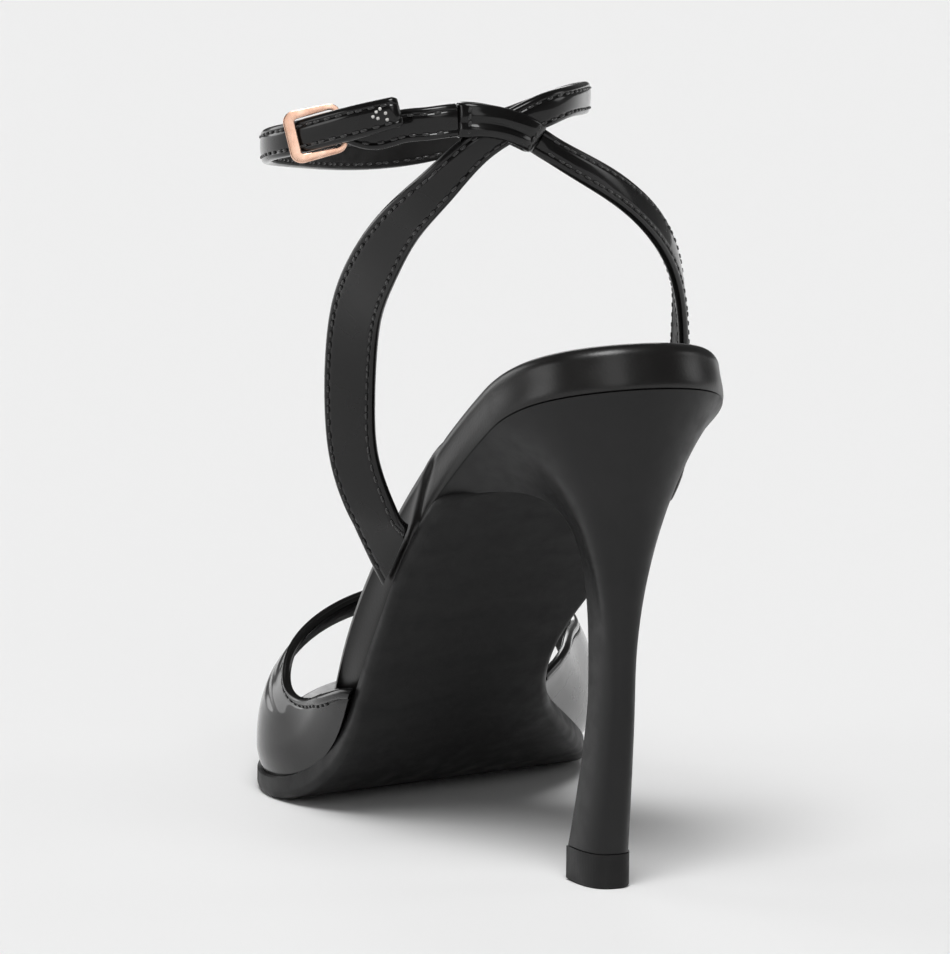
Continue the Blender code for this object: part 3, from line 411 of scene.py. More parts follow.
def fine_heel(count=97, front_count=47):
    """The heel, as rings of points from its seat down to its tip."""
    size = count + front_count
    half = (count - 1) // 2
    share = np.linspace(0, 1, half + 1)
    s_side = FLANK * (1 - share) ** FLANK_CROWD
    outer, inner = inset_outline(
        np.concatenate([np.sort(s_side), [FLANK * FLANK_PAST, FEATHER]]),
        lambda t: flare_at(t) + HEEL_INSET,
    )
    outer, inner = outer[:half + 1][::-1], inner[:half + 1]
    across = np.cos(np.linspace(0, math.pi, front_count + 2))[1:-1]
    x_front = (inner[-1, 1] + outer[0, 1]) / 2 + across * (inner[-1, 1] - outer[0, 1]) / 2
    s_front = FLANK - BREAST_HOLLOW * (1 - np.abs(across) ** BREAST_POWER) ** (1 / BREAST_POWER)
    top = np.concatenate([outer, inner[1:], np.stack([s_front, x_front], 1)])
    top_points = on_sole(top[:, 0], top[:, 1], np.full(size, -GAP / 2))
    neck = heel_section(NECK_WIDTH / 2, NECK_LENGTH, NECK_CENTRE - TIP_CENTRE, count, front_count)
    tip = heel_section(TIP_WIDTH / 2, TIP_LENGTH, 0.0, count, front_count)
    forward = np.clip(top[:, 0] / FLANK, 0, 1)
    power = np.stack([
        BACK_POWER[0] + FLANK_POWER[0] * forward ** 2,
        BACK_POWER[1] + FLANK_POWER[1] * forward,
    ], 1)
    rings = [top_points]
    for drop in HEEL_DROPS:
        share = (1 - drop) ** power
        xy = neck + (top_points[:, :2] - neck) * share
        under = profile_z(np.clip(xy[:, 1] + TIP_CENTRE, 0, PLAN_LENGTH)) - GAP / 2
        z = under - drop * (under - NECK_HEIGHT)
        rings.append(np.column_stack([xy, z]))
    for step in STEM_STEPS:
        xy = neck + (tip - neck) * step ** STEM_FLARE
        z = NECK_HEIGHT + (TIP_HEIGHT + GAP - NECK_HEIGHT) * step
        rings.append(np.column_stack([xy, np.full(size, z)]))
    rings = rings[::-1]
    faces = []
    for k in range(len(rings) - 1):
        faces += band(k * size, (k + 1) * size, size)
    faces += lid(0, count, front_count, -1) + lid((len(rings) - 1) * size, count, front_count, 1)
    settle(make_object("heel", np.concatenate(rings), faces, COATING), "heel")


def lid(start, count, front_count, turn):
    """Closes a heel ring with strips from its outer side to its inner side."""
    half = (count - 1) // 2
    faces = []
    for i in range(half):
        corners = [start + i, start + i + 1, start + count - 2 - i, start + count - 1 - i]
        unique = list(dict.fromkeys(corners))
        faces.append(tuple(unique[::turn]))
    front = [start + i for i in range(count - 1, count + front_count)] + [start]
    faces.append(tuple(front[::turn]))
    return faces


rise_at = spline(column(ARCH, "along") * FEATHER, column(ARCH, "rise") * VAMP_RISE)
ridge_at = spline(column(ARCH, "along") * FEATHER, column(ARCH, "ridge") * HALF_BALL)
throat_at = spline(column(EDGES, "across"), column(EDGES, "throat") * FEATHER)
front_at = spline(column(EDGES, "across"), column(EDGES, "front") * FEATHER)
# How far the band's inner side swells at each share of the feather line, in MM.
SWELL = ((0.42, 5.0), (0.52, 6.5), (0.60, 6.5), (0.68, 4.6), (0.76, 2.6), (0.84, 1.5))
OUTER_SWELL = 0.8 * MM        # and its outer side all along
SWELL_POWER = 0.7             # roundness of the swelling over the band's height
swell_at = spline([along * FEATHER for along, _ in SWELL], [swell * MM for _, swell in SWELL])
OUTER_POWER, INNER_POWER = 2.7, 3.1   # squareness of the band's arch on each side
TUCK_POWER = 1.3              # how the band's foot follows the insole's flank inwards


def vamp_inside(s, across):
    """The toe band's inner face at s along the sole and a share of the way across, over the foot."""
    outer, inner = insole_edge(s)
    outer, inner = outer - VAMP_GAP, inner + VAMP_GAP
    ridge = centre_at(s) + ridge_at(s)
    turn = across * math.pi
    lateral = np.cos(turn) > 0
    inward = np.where(lateral, 1, -1)
    power = 2 / np.where(lateral, OUTER_POWER, INNER_POWER)
    reach = np.where(lateral, ridge - outer, inner - ridge) * np.abs(np.cos(turn)) ** power
    height = np.abs(np.sin(turn)) ** power
    n = VAMP_LIFT + rise_at(s) * height
    swell = np.where(lateral, OUTER_SWELL, swell_at(s)) * (4 * height * (1 - height)) ** SWELL_POWER
    tuck = flare_at(s) * np.clip(1 - n / pad_at(s), 0, 1) ** TUCK_POWER
    return on_sole(s, ridge + inward * (tuck - reach - swell), n)


def unit(vector):
    return vector / np.linalg.norm(vector, axis=-1, keepdims=True)


def strap_points(rows):
    return np.stack([
        LOOP_X + column(rows, "x") * LOOP_WIDTH / 2,
        LOOP_Y + column(rows, "y") * LOOP_LENGTH / 2,
        column(rows, "z") * LOOP_HEIGHT,
    ], 1)


def walk_of(points):
    """The distance walked to each point along a row of them."""
    return np.concatenate([[0], np.cumsum(np.linalg.norm(np.diff(points, axis=0), axis=1))])


def smooth_path(points, facing, width, step):
    """Evenly spaced points on a spline through the given ones, with their facing and width."""
    length = walk_of(points)
    count = max(4, int(round(length[-1] / step)) + 1)
    at = np.linspace(0, length[-1], count)
    path = np.stack([spline(length, values)(at) for values in points.T], 1)
    return path, spline(length, facing)(at), spline(length, width)(at)


def frames(centre, facing):
    """Along, across and out directions at each point of a strap, as a list of three arrays."""
    along = unit(np.gradient(centre, axis=0))
    turn = np.radians(facing)
    out = np.stack([-np.sin(turn), -np.cos(turn), 0 * turn], 1)
    across = unit(np.cross(along, out))
    return [along, across, np.cross(across, along)]


def flank_point(s, side):
    """Where a strap's centre line meets the insole's flank: side is -1 for the outer side."""
    outer, inner = insole_edge(np.array(s))
    edge = (outer if side < 0 else inner) - side * flare_at(s) * (1 - ROOT_LIFT)
    return on_sole(np.array(s), edge + side * ROOT_OUT, ROOT_LIFT * pad_at(s))


LATERAL_ROOT = 67 * MM        # straps leave the sole here, along the feather line
MEDIAL_ROOT = 65 * MM
ROOT_LIFT = 0.12              # height of a strap's foot, as a share of the pad
ROOT_OUT = 1.0 * MM           # from the insole's flank to the middle of a strap's foot
COARSE_STEP = 3 * MM          # between a path's points, where another piece only needs its place
FINE_STEP = 0.8 * MM          # and where a strap is made


def lateral_path(step=COARSE_STEP):
    """The outer strap's middle line, facing and width, from the sole round the ankle."""
    start = flank_point(LATERAL_ROOT, -1)[None]
    rows = LATERAL_RISE + ANKLE_LOOP
    width = np.concatenate([
        [LATERAL_WIDTH],
        LATERAL_WIDTH * column(LATERAL_RISE, "width"),
        ANKLE_WIDTH * column(ANKLE_LOOP, "width"),
    ])
    return smooth_path(
        np.concatenate([start, strap_points(rows)]),
        np.concatenate([[rows[0].facing], column(rows, "facing")]),
        width,
        step,
    )


def sleeve_frame():
    """The sleeve's middle, its along, across and out directions, and the slant of the strap inside it."""
    ends = strap_points(BAND[:3])
    along = unit(ends[2] - ends[0])
    turn = math.radians(BAND[1].facing)
    out = np.array([-math.sin(turn), -math.cos(turn), 0])
    across = unit(np.cross(along, out))
    out = np.cross(across, along)
    centre = lateral_path()[0]
    near = int(np.argmin(np.linalg.norm(centre - ends[1], axis=1)))
    run = unit(centre[near + 1] - centre[near - 1])
    middle = centre[near] + run * float((ends[1] - centre[near]) @ run) - out * SLEEVE_SET
    return middle, along, across, out, SLEEVE_SLANT * float(run @ along) / float(run @ across)


def buckle_frame():
    """The buckle's middle on the long strap, and the strap's along, across and out directions there."""
    centre, facing, _ = lateral_path()
    along, across, out = frames(centre, facing)
    before, after = strap_points(ANKLE_LOOP[BUCKLE_ROW:BUCKLE_ROW + 2])
    target = before + (after - before) * BUCKLE_SHARE
    near = int(np.argmin(np.linalg.norm(centre - target, axis=1)))
    return centre[near], along[near], across[near], out[near]


BUCKLE_ROW = 13               # the buckle lies between this row of ANKLE_LOOP and the next,
BUCKLE_SHARE = 0.65           # this share of the way
WIRE_REACH = 1.17             # from the wire's middle to its corners, in BUCKLE_BAR
OUTER_BAR = STRAP_THICK / 2 + 2 * GAP + BUCKLE_BAR
INNER_BAR = STRAP_THICK / 2 + 2 * GAP + FOLD_THICK + BUCKLE_BAR + BUCKLE_ROOM


# The dressed pieces

STITCH_PITCH = 2.2 * MM
STITCH_LENGTH = 1.35 * MM
STITCH_RADIUS = 0.24 * MM
STITCH_INSET = 1.2 * MM       # stitch line, in from a strap's edge
BAND_STITCH_LIFT = 0.12 * MM  # the toe band's stitches lie this far over their groove
# A stitch's rings: share of its length, and of its radius
THREAD_RINGS = ((-0.5, 0.0), (-0.46, 0.65), (-0.25, 1.0), (0.25, 1.0), (0.46, 0.65), (0.5, 0.0))
THREAD_SIDES = 6
THREAD_ARCH = 0.35            # a stitch's middle stands this share of its radius over its ends
ROLL = 1.15 * MM              # radius of the toe band's rolled edge
ROLL_FOOT = 1.5 * MM          # the band's plain face starts this far in from the edge
ROLL_RUN = 0.45 * MM          # and is full after this much more
BAND_SEAM = 2.12 * MM         # the band's stitches, in from its edge
SEAM_WIDE = 0.26 * MM         # the groove that they lie in
SEAM_DEEP = 0.30 * MM
STRAP_ROLL = 0.72 * MM        # radius of a strap's rolled edge
ROLL_TURNS = np.radians((25, 50, 75, 90, 105, 130, 155))
# A strap's stitched groove: MM in from its edge, and share of GROOVE_DEPTH
GROOVE = ((0.88, 0.0), (1.03, 0.5), (1.2, 1.0), (1.37, 0.5), (1.56, 0.0), (2.0, 0.0))
GROOVE_DEPTH = 0.24 * MM
LINING_GROOVE = 0.6           # the inner face's groove, as a share of that


def make_object(name, points, faces, material, index=None, sharp=38):
    """A smooth piece whose edges stay sharp where they bend further than sharp degrees."""
    mesh = bpy.data.meshes.new(name)
    mesh.from_pydata(np.asarray(points).tolist(), [], [tuple(map(int, f)) for f in faces])
    for made in (material if isinstance(material, (list, tuple)) else [material]):
        mesh.materials.append(made)
    if index is not None:
        mesh.polygons.foreach_set("material_index", np.asarray(index, np.int32))
    mesh.shade_smooth()
    mesh.set_sharp_from_angle(angle=math.radians(sharp))
    obj = bpy.data.objects.new(name, mesh)
    bpy.context.scene.collection.objects.link(obj)
    return obj


def hill(away, width):
    """1 in the middle, falling smoothly to 0 about twice the width away."""
    return np.exp(-(away / width) ** 2)


def settle(obj, node=None):
    """Fixes a piece to the shoe and replaces a CAD node where one is given."""
    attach(obj, "root")
    if node:
        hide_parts(node)
    return obj


# Materials

def principled(name, base, roughness, **sockets):
    """A material and its tree and shader; other sockets are named with underscores for spaces."""
    made = bpy.data.materials.new(name)
    made.use_nodes = True
    shader = made.node_tree.nodes["Principled BSDF"]
    shader.inputs["Base Color"].default_value = (*base, 1.0)
    shader.inputs["Roughness"].default_value = roughness
    for socket, value in sockets.items():
        shader.inputs[socket.replace("_", " ")].default_value = value
    return made, made.node_tree, shader


def noise(tree, scale, detail=3.0, stretch=None, distort=0.0):
    """A noise fixed to the object, stretched along its axes where a stretch is given."""
    place = tree.nodes.new("ShaderNodeTexCoord")
    output = place.outputs["Object"]
    if stretch:
        mapping = tree.nodes.new("ShaderNodeMapping")
        mapping.inputs["Scale"].default_value = stretch
        tree.links.new(output, mapping.inputs["Vector"])
        output = mapping.outputs["Vector"]
    texture = tree.nodes.new("ShaderNodeTexNoise")
    texture.inputs["Scale"].default_value = scale
    texture.inputs["Detail"].default_value = detail
    texture.inputs["Distortion"].default_value = distort
    tree.links.new(output, texture.inputs["Vector"])
    return texture.outputs["Fac"]


def cells(tree, scale):
    """A grain of small cells, given as the distance to their edges."""
    place = tree.nodes.new("ShaderNodeTexCoord")
    texture = tree.nodes.new("ShaderNodeTexVoronoi")
    texture.feature = "DISTANCE_TO_EDGE"
    texture.inputs["Scale"].default_value = scale
    tree.links.new(place.outputs["Object"], texture.inputs["Vector"])
    return texture.outputs["Distance"]


def spread(tree, value, low, high, start=0.35, end=0.65):
    """Maps a value between start and end to one between low and high."""
    remap = tree.nodes.new("ShaderNodeMapRange")
    for socket, number in (("From Min", start), ("From Max", end), ("To Min", low), ("To Max", high)):
        remap.inputs[socket].default_value = number
    tree.links.new(value, remap.inputs["Value"])
    return remap.outputs["Result"]


def tint(tree, shader, value, dark, light, *limits):
    """Colours the shader from dark to light as the value grows from the first limit to the second."""
    value = spread(tree, value, 0, 1, *limits)
    mix = tree.nodes.new("ShaderNodeMix")
    mix.data_type = "RGBA"
    mix.inputs["A"].default_value = (*dark, 1.0)
    mix.inputs["B"].default_value = (*light, 1.0)
    tree.links.new(value, mix.inputs["Factor"])
    tree.links.new(mix.outputs["Result"], shader.inputs["Base Color"])


def gloss(tree, shader, value, low, high):
    """Varies the shader's roughness between low and high."""
    tree.links.new(spread(tree, value, low, high), shader.inputs["Roughness"])


def bumps(tree, shader, *layers):
    """Layers are (height output, depth in metres, strength)."""
    last = None
    for height, depth, strength in layers:
        bump = tree.nodes.new("ShaderNodeBump")
        bump.inputs["Distance"].default_value = depth
        bump.inputs["Strength"].default_value = strength
        tree.links.new(height, bump.inputs["Height"])
        if last:
            tree.links.new(last, bump.inputs["Normal"])
        last = bump.outputs["Normal"]
    tree.links.new(last, shader.inputs["Normal"])


def patent():
    made, tree, shader = principled("patent_leather", (0.005, 0.0046, 0.0046), 0.3, Coat_Weight=0.75,
                                    Coat_Roughness=0.05, Coat_IOR=1.42, Specular_IOR_Level=0.1)
    tint(tree, shader, noise(tree, 90), (0.0025, 0.0023, 0.0023), (0.0045, 0.0042, 0.0042))
    gloss(tree, shader, noise(tree, 60, 4), 0.24, 0.36)
    bumps(tree, shader, (noise(tree, 60, 1.0), 1.0 * MM, 0.2), (noise(tree, 900, 2), 0.03 * MM, 0.25))
    return made


def lining():
    made, tree, shader = principled("strap_lining", (0.01, 0.0095, 0.009), 0.55, Specular_IOR_Level=0.25)
    tint(tree, shader, noise(tree, 140), (0.006, 0.0056, 0.0055), (0.012, 0.0113, 0.011))
    gloss(tree, shader, noise(tree, 400), 0.46, 0.64)
    bumps(tree, shader, (cells(tree, 1500), 0.08 * MM, 0.5), (noise(tree, 2600, 3), 0.04 * MM, 0.5))
    return made


def satin():
    made, tree, shader = principled("insole_leather", (0.007, 0.0066, 0.0065), 0.36, Coat_Weight=0.2,
                                    Coat_Roughness=0.25, Specular_IOR_Level=0.3)
    tint(tree, shader, noise(tree, 70, 4), (0.005, 0.0047, 0.0046), (0.0075, 0.007, 0.0068))
    gloss(tree, shader, noise(tree, 110, 4), 0.30, 0.40)
    bumps(tree, shader, (cells(tree, 1100), 0.06 * MM, 0.35), (noise(tree, 120, 2), 0.3 * MM, 0.10))
    return made


def rubber():
    made, tree, shader = principled("sole_rubber", (0.008, 0.008, 0.0082), 0.55, Specular_IOR_Level=0.25)
    streaks = noise(tree, 60, 5, stretch=(0.5, 6.0, 3.0), distort=0.4)
    tint(tree, shader, streaks, (0.0065, 0.0065, 0.0067), (0.0105, 0.0103, 0.0103), 0.3, 0.75)
    gloss(tree, shader, noise(tree, 180, 5), 0.42, 0.62)
    bumps(tree, shader, (noise(tree, 3000, 2), 0.04 * MM, 0.5), (streaks, 0.012 * MM, 0.15))
    return made


def coating():
    made, tree, shader = principled("matte_coating", (0.009, 0.009, 0.0092), 0.5, Specular_IOR_Level=0.3)
    tint(tree, shader, noise(tree, 45, 3), (0.0075, 0.0075, 0.0077), (0.0105, 0.0103, 0.0105))
    gloss(tree, shader, noise(tree, 300, 4), 0.36, 0.48)
    bumps(tree, shader, (noise(tree, 3500, 2), 0.02 * MM, 0.4), (noise(tree, 80, 2), 0.2 * MM, 0.12))
    return made


def rose_metal():
    made, tree, shader = principled("rose_metal", (0.84, 0.53, 0.40), 0.22, Metallic=1.0)
    tint(tree, shader, noise(tree, 500), (0.78, 0.47, 0.34), (0.90, 0.60, 0.46))
    brushed = noise(tree, 900, 3, stretch=(1.0, 1.0, 0.15))
    gloss(tree, shader, brushed, 0.16, 0.30)
    bumps(tree, shader, (brushed, 0.02 * MM, 0.3))
    return made


def thread(name, base, roughness):
    made, tree, shader = principled(name, base, roughness, Sheen_Weight=0.2)
    twist = noise(tree, 2200, 2, stretch=(1.0, 1.0, 2.5))
    tint(tree, shader, twist, tuple(c * 0.7 for c in base), tuple(c * 1.4 for c in base))
    bumps(tree, shader, (twist, 0.08 * MM, 0.5))
    return made


PATENT = patent()
LINING = lining()
SATIN = satin()
RUBBER = rubber()
COATING = coating()
METAL = rose_metal()
THREAD = thread("black_thread", (0.012, 0.0115, 0.0115), 0.3)
# The pale grey of the knots at the strap's free end is a painted highlight: it stands in for light caught
# on those stitches.
PAINTED_GLINT_THREAD = thread("tip_thread_painted_glint", (0.55, 0.54, 0.52), 0.25)


# Soles

def smooth_rows(table, count):
    """Rows between those of a table, on a smooth curve through each column."""
    rows = np.array(table)
    knots = np.arange(len(rows))
    at = np.linspace(0, len(rows) - 1, count)
    return np.stack([spline(knots, rows[:, i])(at) for i in range(rows.shape[1])], 1)


FlankRow = namedtuple("FlankRow", "flare inset height drop")
FLANK_ROWS = (  # shares of the flare, of PAD_ROUND inwards, of the pad's height, and of PAD_ROUND downwards
    FlankRow(1.00, 0.35, 0.00, 0.00),
    FlankRow(0.94, 0.00, 0.10, 0.00),
    FlankRow(0.45, 0.00, 0.50, 0.00),
    FlankRow(0.00, 0.00, 1.00, 1.00),
)
SEAM_FOOT = (59 * MM, 0.0)    # seam on the insole's flank: s and n of its lower end
SEAM_TOP = (41 * MM, 9 * MM)  # and of its upper end
SEAM_GROOVE = (0.38 * MM, 0.5 * MM)  # depth and width
SEAM_RIDGE = (0.30 * MM, 1.2 * MM, 1.3 * MM)  # the fold beside it: height, width and distance
SEAM_START, SEAM_FADE = 0.75, 0.2  # the seam fades in from this share of the half width
DISH = 0.7 * MM               # hollow of the insole's top


def fine_insole(count=250):
    """The padded insole, with its dished top and the seam on its flank."""
    s = stations(count, crowd=0.55)
    rows = [tuple(row) for row in smooth_rows(FLANK_ROWS, 16)]
    rows += [(0.0, 1 - math.cos(t), 1.0, 1 - math.sin(t)) for t in np.radians(np.linspace(10, 90, 9))]
    layers = []
    for flare, inset, height, drop in rows:
        sides = inset_outline(s, lambda t, f=flare, i=inset: f * flare_at(t) + i * PAD_ROUND)
        layers.append((sides, (height, drop)))
    seam = np.array(SEAM_TOP) - np.array(SEAM_FOOT)
    seam /= np.linalg.norm(seam)

    def place(along, x, lift):
        height, drop = lift
        n = GAP / 2 + height * (pad_at(along) - GAP / 2) - drop * PAD_ROUND
        outer, inner = insole_edge(along)
        middle = (outer + inner) / 2
        share = np.clip((x - middle) / np.maximum((inner - outer) / 2, MM), -1, 1)
        off = (along - SEAM_FOOT[0]) * seam[1] - (n - SEAM_FOOT[1]) * seam[0]
        flank = np.clip((np.abs(share) - SEAM_START) / SEAM_FADE, 0, 1)
        ridge = SEAM_RIDGE[0] * hill(off - SEAM_RIDGE[2], SEAM_RIDGE[1])
        groove = SEAM_GROOVE[0] * hill(off, SEAM_GROOVE[1])
        x = x + np.sign(share) * flank * (ridge - groove)
        on_top = (height > 0.999) * (drop < 0.01)
        return on_sole(along, x, n - DISH * (1 - share ** 2) ** 2 * on_top)

    settle(slab("insole_cover", layers, place, count, SATIN), "insole")


def fine_outsole(count=230):
    """The outsole, from the heel's breast to the toe, with a rounded lower edge."""
    start = FLANK - BREAST_HOLLOW + BREAST_GAP
    s = stations(count, start, crowd=0.55)

    def sides(inset):
        outer, inner = inset_outline(np.concatenate([[0.0], s]), lambda t: flare_at(t) - edge_at(t) + inset)
        outer, inner = outer[1:], inner[1:]
        middle = (outer[:, 1] + inner[:, 1]) / 2
        share = round_end(s - start, BREAST_HOLLOW, BREAST_POWER)
        for side in (outer, inner):
            side[:, 1] = middle + (side[:, 1] - middle) * share
            side[:, 0] = np.maximum(side[:, 0], start + inset * (1 - share))
        return outer, inner

    def place(along, x, lift):
        rise, up = lift
        thick = sole_thick(along)
        point = on_sole(along, x, -thick + rise * SOLE_ROUND + up * (thick - SOLE_ROUND - GAP / 2))
        point[:, 2] = np.maximum(point[:, 2], rise * SOLE_ROUND if up == 0 else 0)
        return point

    layers = []
    for t in np.radians(np.linspace(0, 90, 9)):
        layers.append((sides((1 - math.sin(t)) * SOLE_ROUND), (1 - math.cos(t), 0)))
    for up in (0.2, 0.5, 0.8, 0.93):
        layers.append((sides(0.0), (1.0, up)))
    layers.append((sides(0.25 * MM), (1.0, 1.0)))
    settle(slab("outsole_fine", layers, place, count, RUBBER), "outsole")


# Toe band

def band_rows():
    """Distances in from the band's edge over its roll, and shares of the way between the two edges."""
    edge = np.concatenate([np.linspace(0, 2.0, 15), [2.15, 2.35, 2.6, 3.0]]) * MM
    return edge, np.linspace(0, 1, 44)[1:-1]


def throat_scale(u, at):
    """How far one edge of the band runs square to the sole's length, from 0 to 1."""
    small = 1e-3
    turn = np.clip(u, small, 1 - small)
    after, before = turn + small, turn - small
    tangent = unit(vamp_inside(at(after), after) - vamp_inside(at(before), before))
    forward = unit(vamp_inside(at(turn) + small, turn) - vamp_inside(at(turn), turn))
    return np.sqrt(np.clip(1 - (tangent * forward).sum(-1) ** 2, 0.09, 1))


def rolled(edge):
    """Outer and inner face of the wall at this distance from a rolled edge."""
    arc = np.sqrt(np.clip(ROLL ** 2 - (edge - ROLL) ** 2, 0, None))
    wall = VAMP_WALL * np.clip((edge - ROLL_FOOT) / ROLL_RUN, 0, 1)
    groove = SEAM_DEEP * hill(edge - BAND_SEAM, SEAM_WIDE)
    outer = np.maximum(np.where(edge < 2 * ROLL, VAMP_WALL / 2 + arc, 0), wall - groove)
    inner = np.where(edge < ROLL, VAMP_WALL / 2 * (1 - arc / ROLL), 0)
    return outer, inner


Crease = namedtuple("Crease", "start end depth width")
CREASES = (  # ends as shares across and along the band, depth and width in MM
    Crease((0.10, 0.30), (0.26, 0.62), 0.20, 2.0),
    Crease((0.17, 0.16), (0.36, 0.40), 0.16, 1.8),
    Crease((0.72, 0.30), (0.88, 0.52), 0.14, 2.2),
    Crease((0.42, 0.70), (0.62, 0.74), 0.08, 2.4),
)
BAND_SPAN = np.array([110, 50])       # the band's size across and along, in MM
BANK, BANK_AWAY = 0.5, 1.6            # a crease's raised sides: share of its depth, and widths away
SOFT_START, SOFT_RUN = 2.6 * MM, 3 * MM  # creases fade in behind the seam
RIPPLE = 0.05 * MM                    # slow ripples over the whole band
EDGE_ROWS = 12                        # rows of the lining's side that stay patent, for the turned edge


def band_surface(u, s, edge):
    """Points of the band's outer and inner face, and its normal."""
    point = vamp_inside(s, u)
    small = 1e-4
    turn = np.clip(u, small, 1 - small)
    d_across = vamp_inside(s, turn + small) - vamp_inside(s, turn - small)
    d_along = vamp_inside(s + small, turn) - vamp_inside(s - small, turn)
    normal = unit(np.cross(d_across, d_along))
    outer, inner = rolled(edge)
    share = (s - throat_at(u)) / (front_at(u) - throat_at(u))
    soft = np.clip((edge - SOFT_START) / SOFT_RUN, 0, 1)
    for crease in CREASES:
        from_start = (np.stack([u, share], -1) - crease.start) * BAND_SPAN
        whole = np.subtract(crease.end, crease.start) * BAND_SPAN
        t = np.clip((from_start @ whole) / (whole @ whole), 0, 1)
        far = np.linalg.norm(from_start - t[..., None] * whole, axis=-1)
        form = hill(far, crease.width) - BANK * hill(far - BANK_AWAY * crease.width, crease.width)
        outer = outer - soft * crease.depth * MM * form
    outer = outer + soft * RIPPLE * np.sin(u * 23 + share * 4) * np.sin(share * 6 + 1)
    return point + normal * outer[..., None], point + normal * inner[..., None], normal


def band_stitches(name, at, sign):
    """Stitches along one edge of the band; sign is 1 where the band lies forward of that edge."""
    fine = np.linspace(0.012, 0.988, 1500)
    line = at(fine) + sign * BAND_SEAM / throat_scale(fine, at)
    spots, _, normal = band_surface(fine, line, np.full(len(fine), BAND_SEAM))
    walk = walk_of(spots)
    marks = np.arange(0.5, walk[-1] / STITCH_PITCH) * STITCH_PITCH
    pick = np.interp(marks, walk, np.arange(len(fine))).astype(int)
    along = unit(np.gradient(spots, axis=0))
    stitches(name, zip(spots[pick] + normal[pick] * BAND_STITCH_LIFT, along[pick], normal[pick]))


def fine_vamp(count=190):
    """The toe band: an outer and an inner face, joined along both edges and both feet."""
    u = np.linspace(0, 1, count)
    u = u - 0.25 * np.sin(2 * math.pi * u) / (2 * math.pi)
    edge, inside = band_rows()
    rear, fore = throat_scale(u, throat_at)[:, None], throat_scale(u, front_at)[:, None]
    throat, front = throat_at(u)[:, None], front_at(u)[:, None]
    first, last = throat + edge / rear, front - edge[::-1] / fore
    between = first[:, -1:] + (last[:, :1] - first[:, -1:]) * inside
    s = np.concatenate([first, between, last], 1)
    rows = s.shape[1]
    away = np.minimum((s - throat) * rear, (front - s) * fore)
    outer, inner, _ = band_surface(np.repeat(u[:, None], rows, 1), s, away)
    total = count * rows
    faces, index = [], []
    for i in range(count - 1):
        for j in range(rows - 1):
            a, b = i * rows + j, (i + 1) * rows + j
            near_edge = j < EDGE_ROWS or j >= rows - EDGE_ROWS - 1
            faces += [(a, b, b + 1, a + 1), (total + a, total + a + 1, total + b + 1, total + b)]
            index += [0, 0 if near_edge else 1]
    for j in range(rows - 1):
        a, b = j, (count - 1) * rows + j
        faces += [(a + 1, total + a + 1, total + a, a), (b, total + b, total + b + 1, b + 1)]
    for i in range(count - 1):
        a, b = i * rows, (i + 1) * rows
        c, d = a + rows - 1, b + rows - 1
        faces += [(a, total + a, total + b, b), (d, total + d, total + c, c)]
    index += [0] * (len(faces) - len(index))
    points = np.concatenate([outer.reshape(-1, 3), inner.reshape(-1, 3)])
    settle(make_object("toe_band", points, faces, [PATENT, LINING], index=index, sharp=50), "vamp")
    band_stitches("throat_stitches", throat_at, 1)
    band_stitches("front_stitches", front_at, -1)


# Straps

def stitches(name, marks, material=THREAD, length=STITCH_LENGTH, radius=STITCH_RADIUS):
    """Short round-ended threads. Each mark is a stitch's place, along direction and out direction."""
    points, faces = [], []
    for spot, along, out in marks:
        side = np.cross(along, out)
        base = len(points)
        points.append(spot + along * THREAD_RINGS[0][0] * length)
        for share, wide in THREAD_RINGS[1:-1]:
            lift = THREAD_ARCH * (1 - (2 * share) ** 2)
            for t in np.linspace(0, 2 * math.pi, THREAD_SIDES + 1)[:-1]:
                swing = side * math.cos(t) + out * (math.sin(t) + lift)
                points.append(spot + along * share * length + swing * radius * wide)
        points.append(spot + along * THREAD_RINGS[-1][0] * length)
        rings = [base + 1 + k * THREAD_SIDES for k in range(len(THREAD_RINGS) - 2)]
        for first, second in zip(rings, rings[1:]):
            faces += band(first, second, THREAD_SIDES)
        turns = [(i, (i + 1) % THREAD_SIDES) for i in range(THREAD_SIDES)]
        faces += [(base, rings[0] + after, rings[0] + i) for i, after in turns]
        faces += [(len(points) - 1, rings[-1] + i, rings[-1] + after) for i, after in turns]
    settle(make_object(name, points, faces, material, sharp=80))


def section(half, full, crown):
    """A strap's section, from the outer face's upper edge round: rows of (across, out, face)."""
    roll = min(STRAP_ROLL, full)
    flat = half - roll
    upper = half - np.array([roll] + [cut * MM for cut, _ in GROOVE])
    dips = np.array([0.0] + [dip for _, dip in GROOVE]) * GROOVE_DEPTH
    middle = np.linspace(upper[-1], -upper[-1], 6)[1:-1]
    across = np.concatenate([upper, middle, -upper[::-1]])
    dip = np.concatenate([dips, 0 * middle, dips[::-1]])
    puff = crown * (1 - (across / flat) ** 2)
    rows = [(a, full + p - d, 0) for a, p, d in zip(across, puff, dip)]
    rows += [(-flat - roll * math.sin(t), full * math.cos(t), 0) for t in ROLL_TURNS]
    rows += [(a, -full + d * LINING_GROOVE, 1) for a, d in zip(across[::-1], dip[::-1])]
    rows += [(flat + roll * math.sin(t), -full * math.cos(t), 0) for t in ROLL_TURNS]
    return rows


STRAP_CROWN = 0.22 * MM       # a strap's outer face stands out this far in the middle
FOLD_CROWN = 0.12 * MM        # and the short strap's this far
FOLD_SKIP = (1 * MM, 12 * MM)  # the short strap has no stitches this near to its ends
TIP_ROUND = 0.8 * MM          # a strap's free end is rounded over this length
TIP_NARROW = 0.5 * MM         # and narrows by this much at each side
TIP_THIN = 0.2                # its last section keeps this share of the thickness
STITCH_START = 2 * MM         # from a strap's end to its first stitch
STITCH_SINK = 0.1 * MM        # stitches on the outer face lie this far in
LINING_STITCH = 0.06 * MM     # and those on the inner face this far out


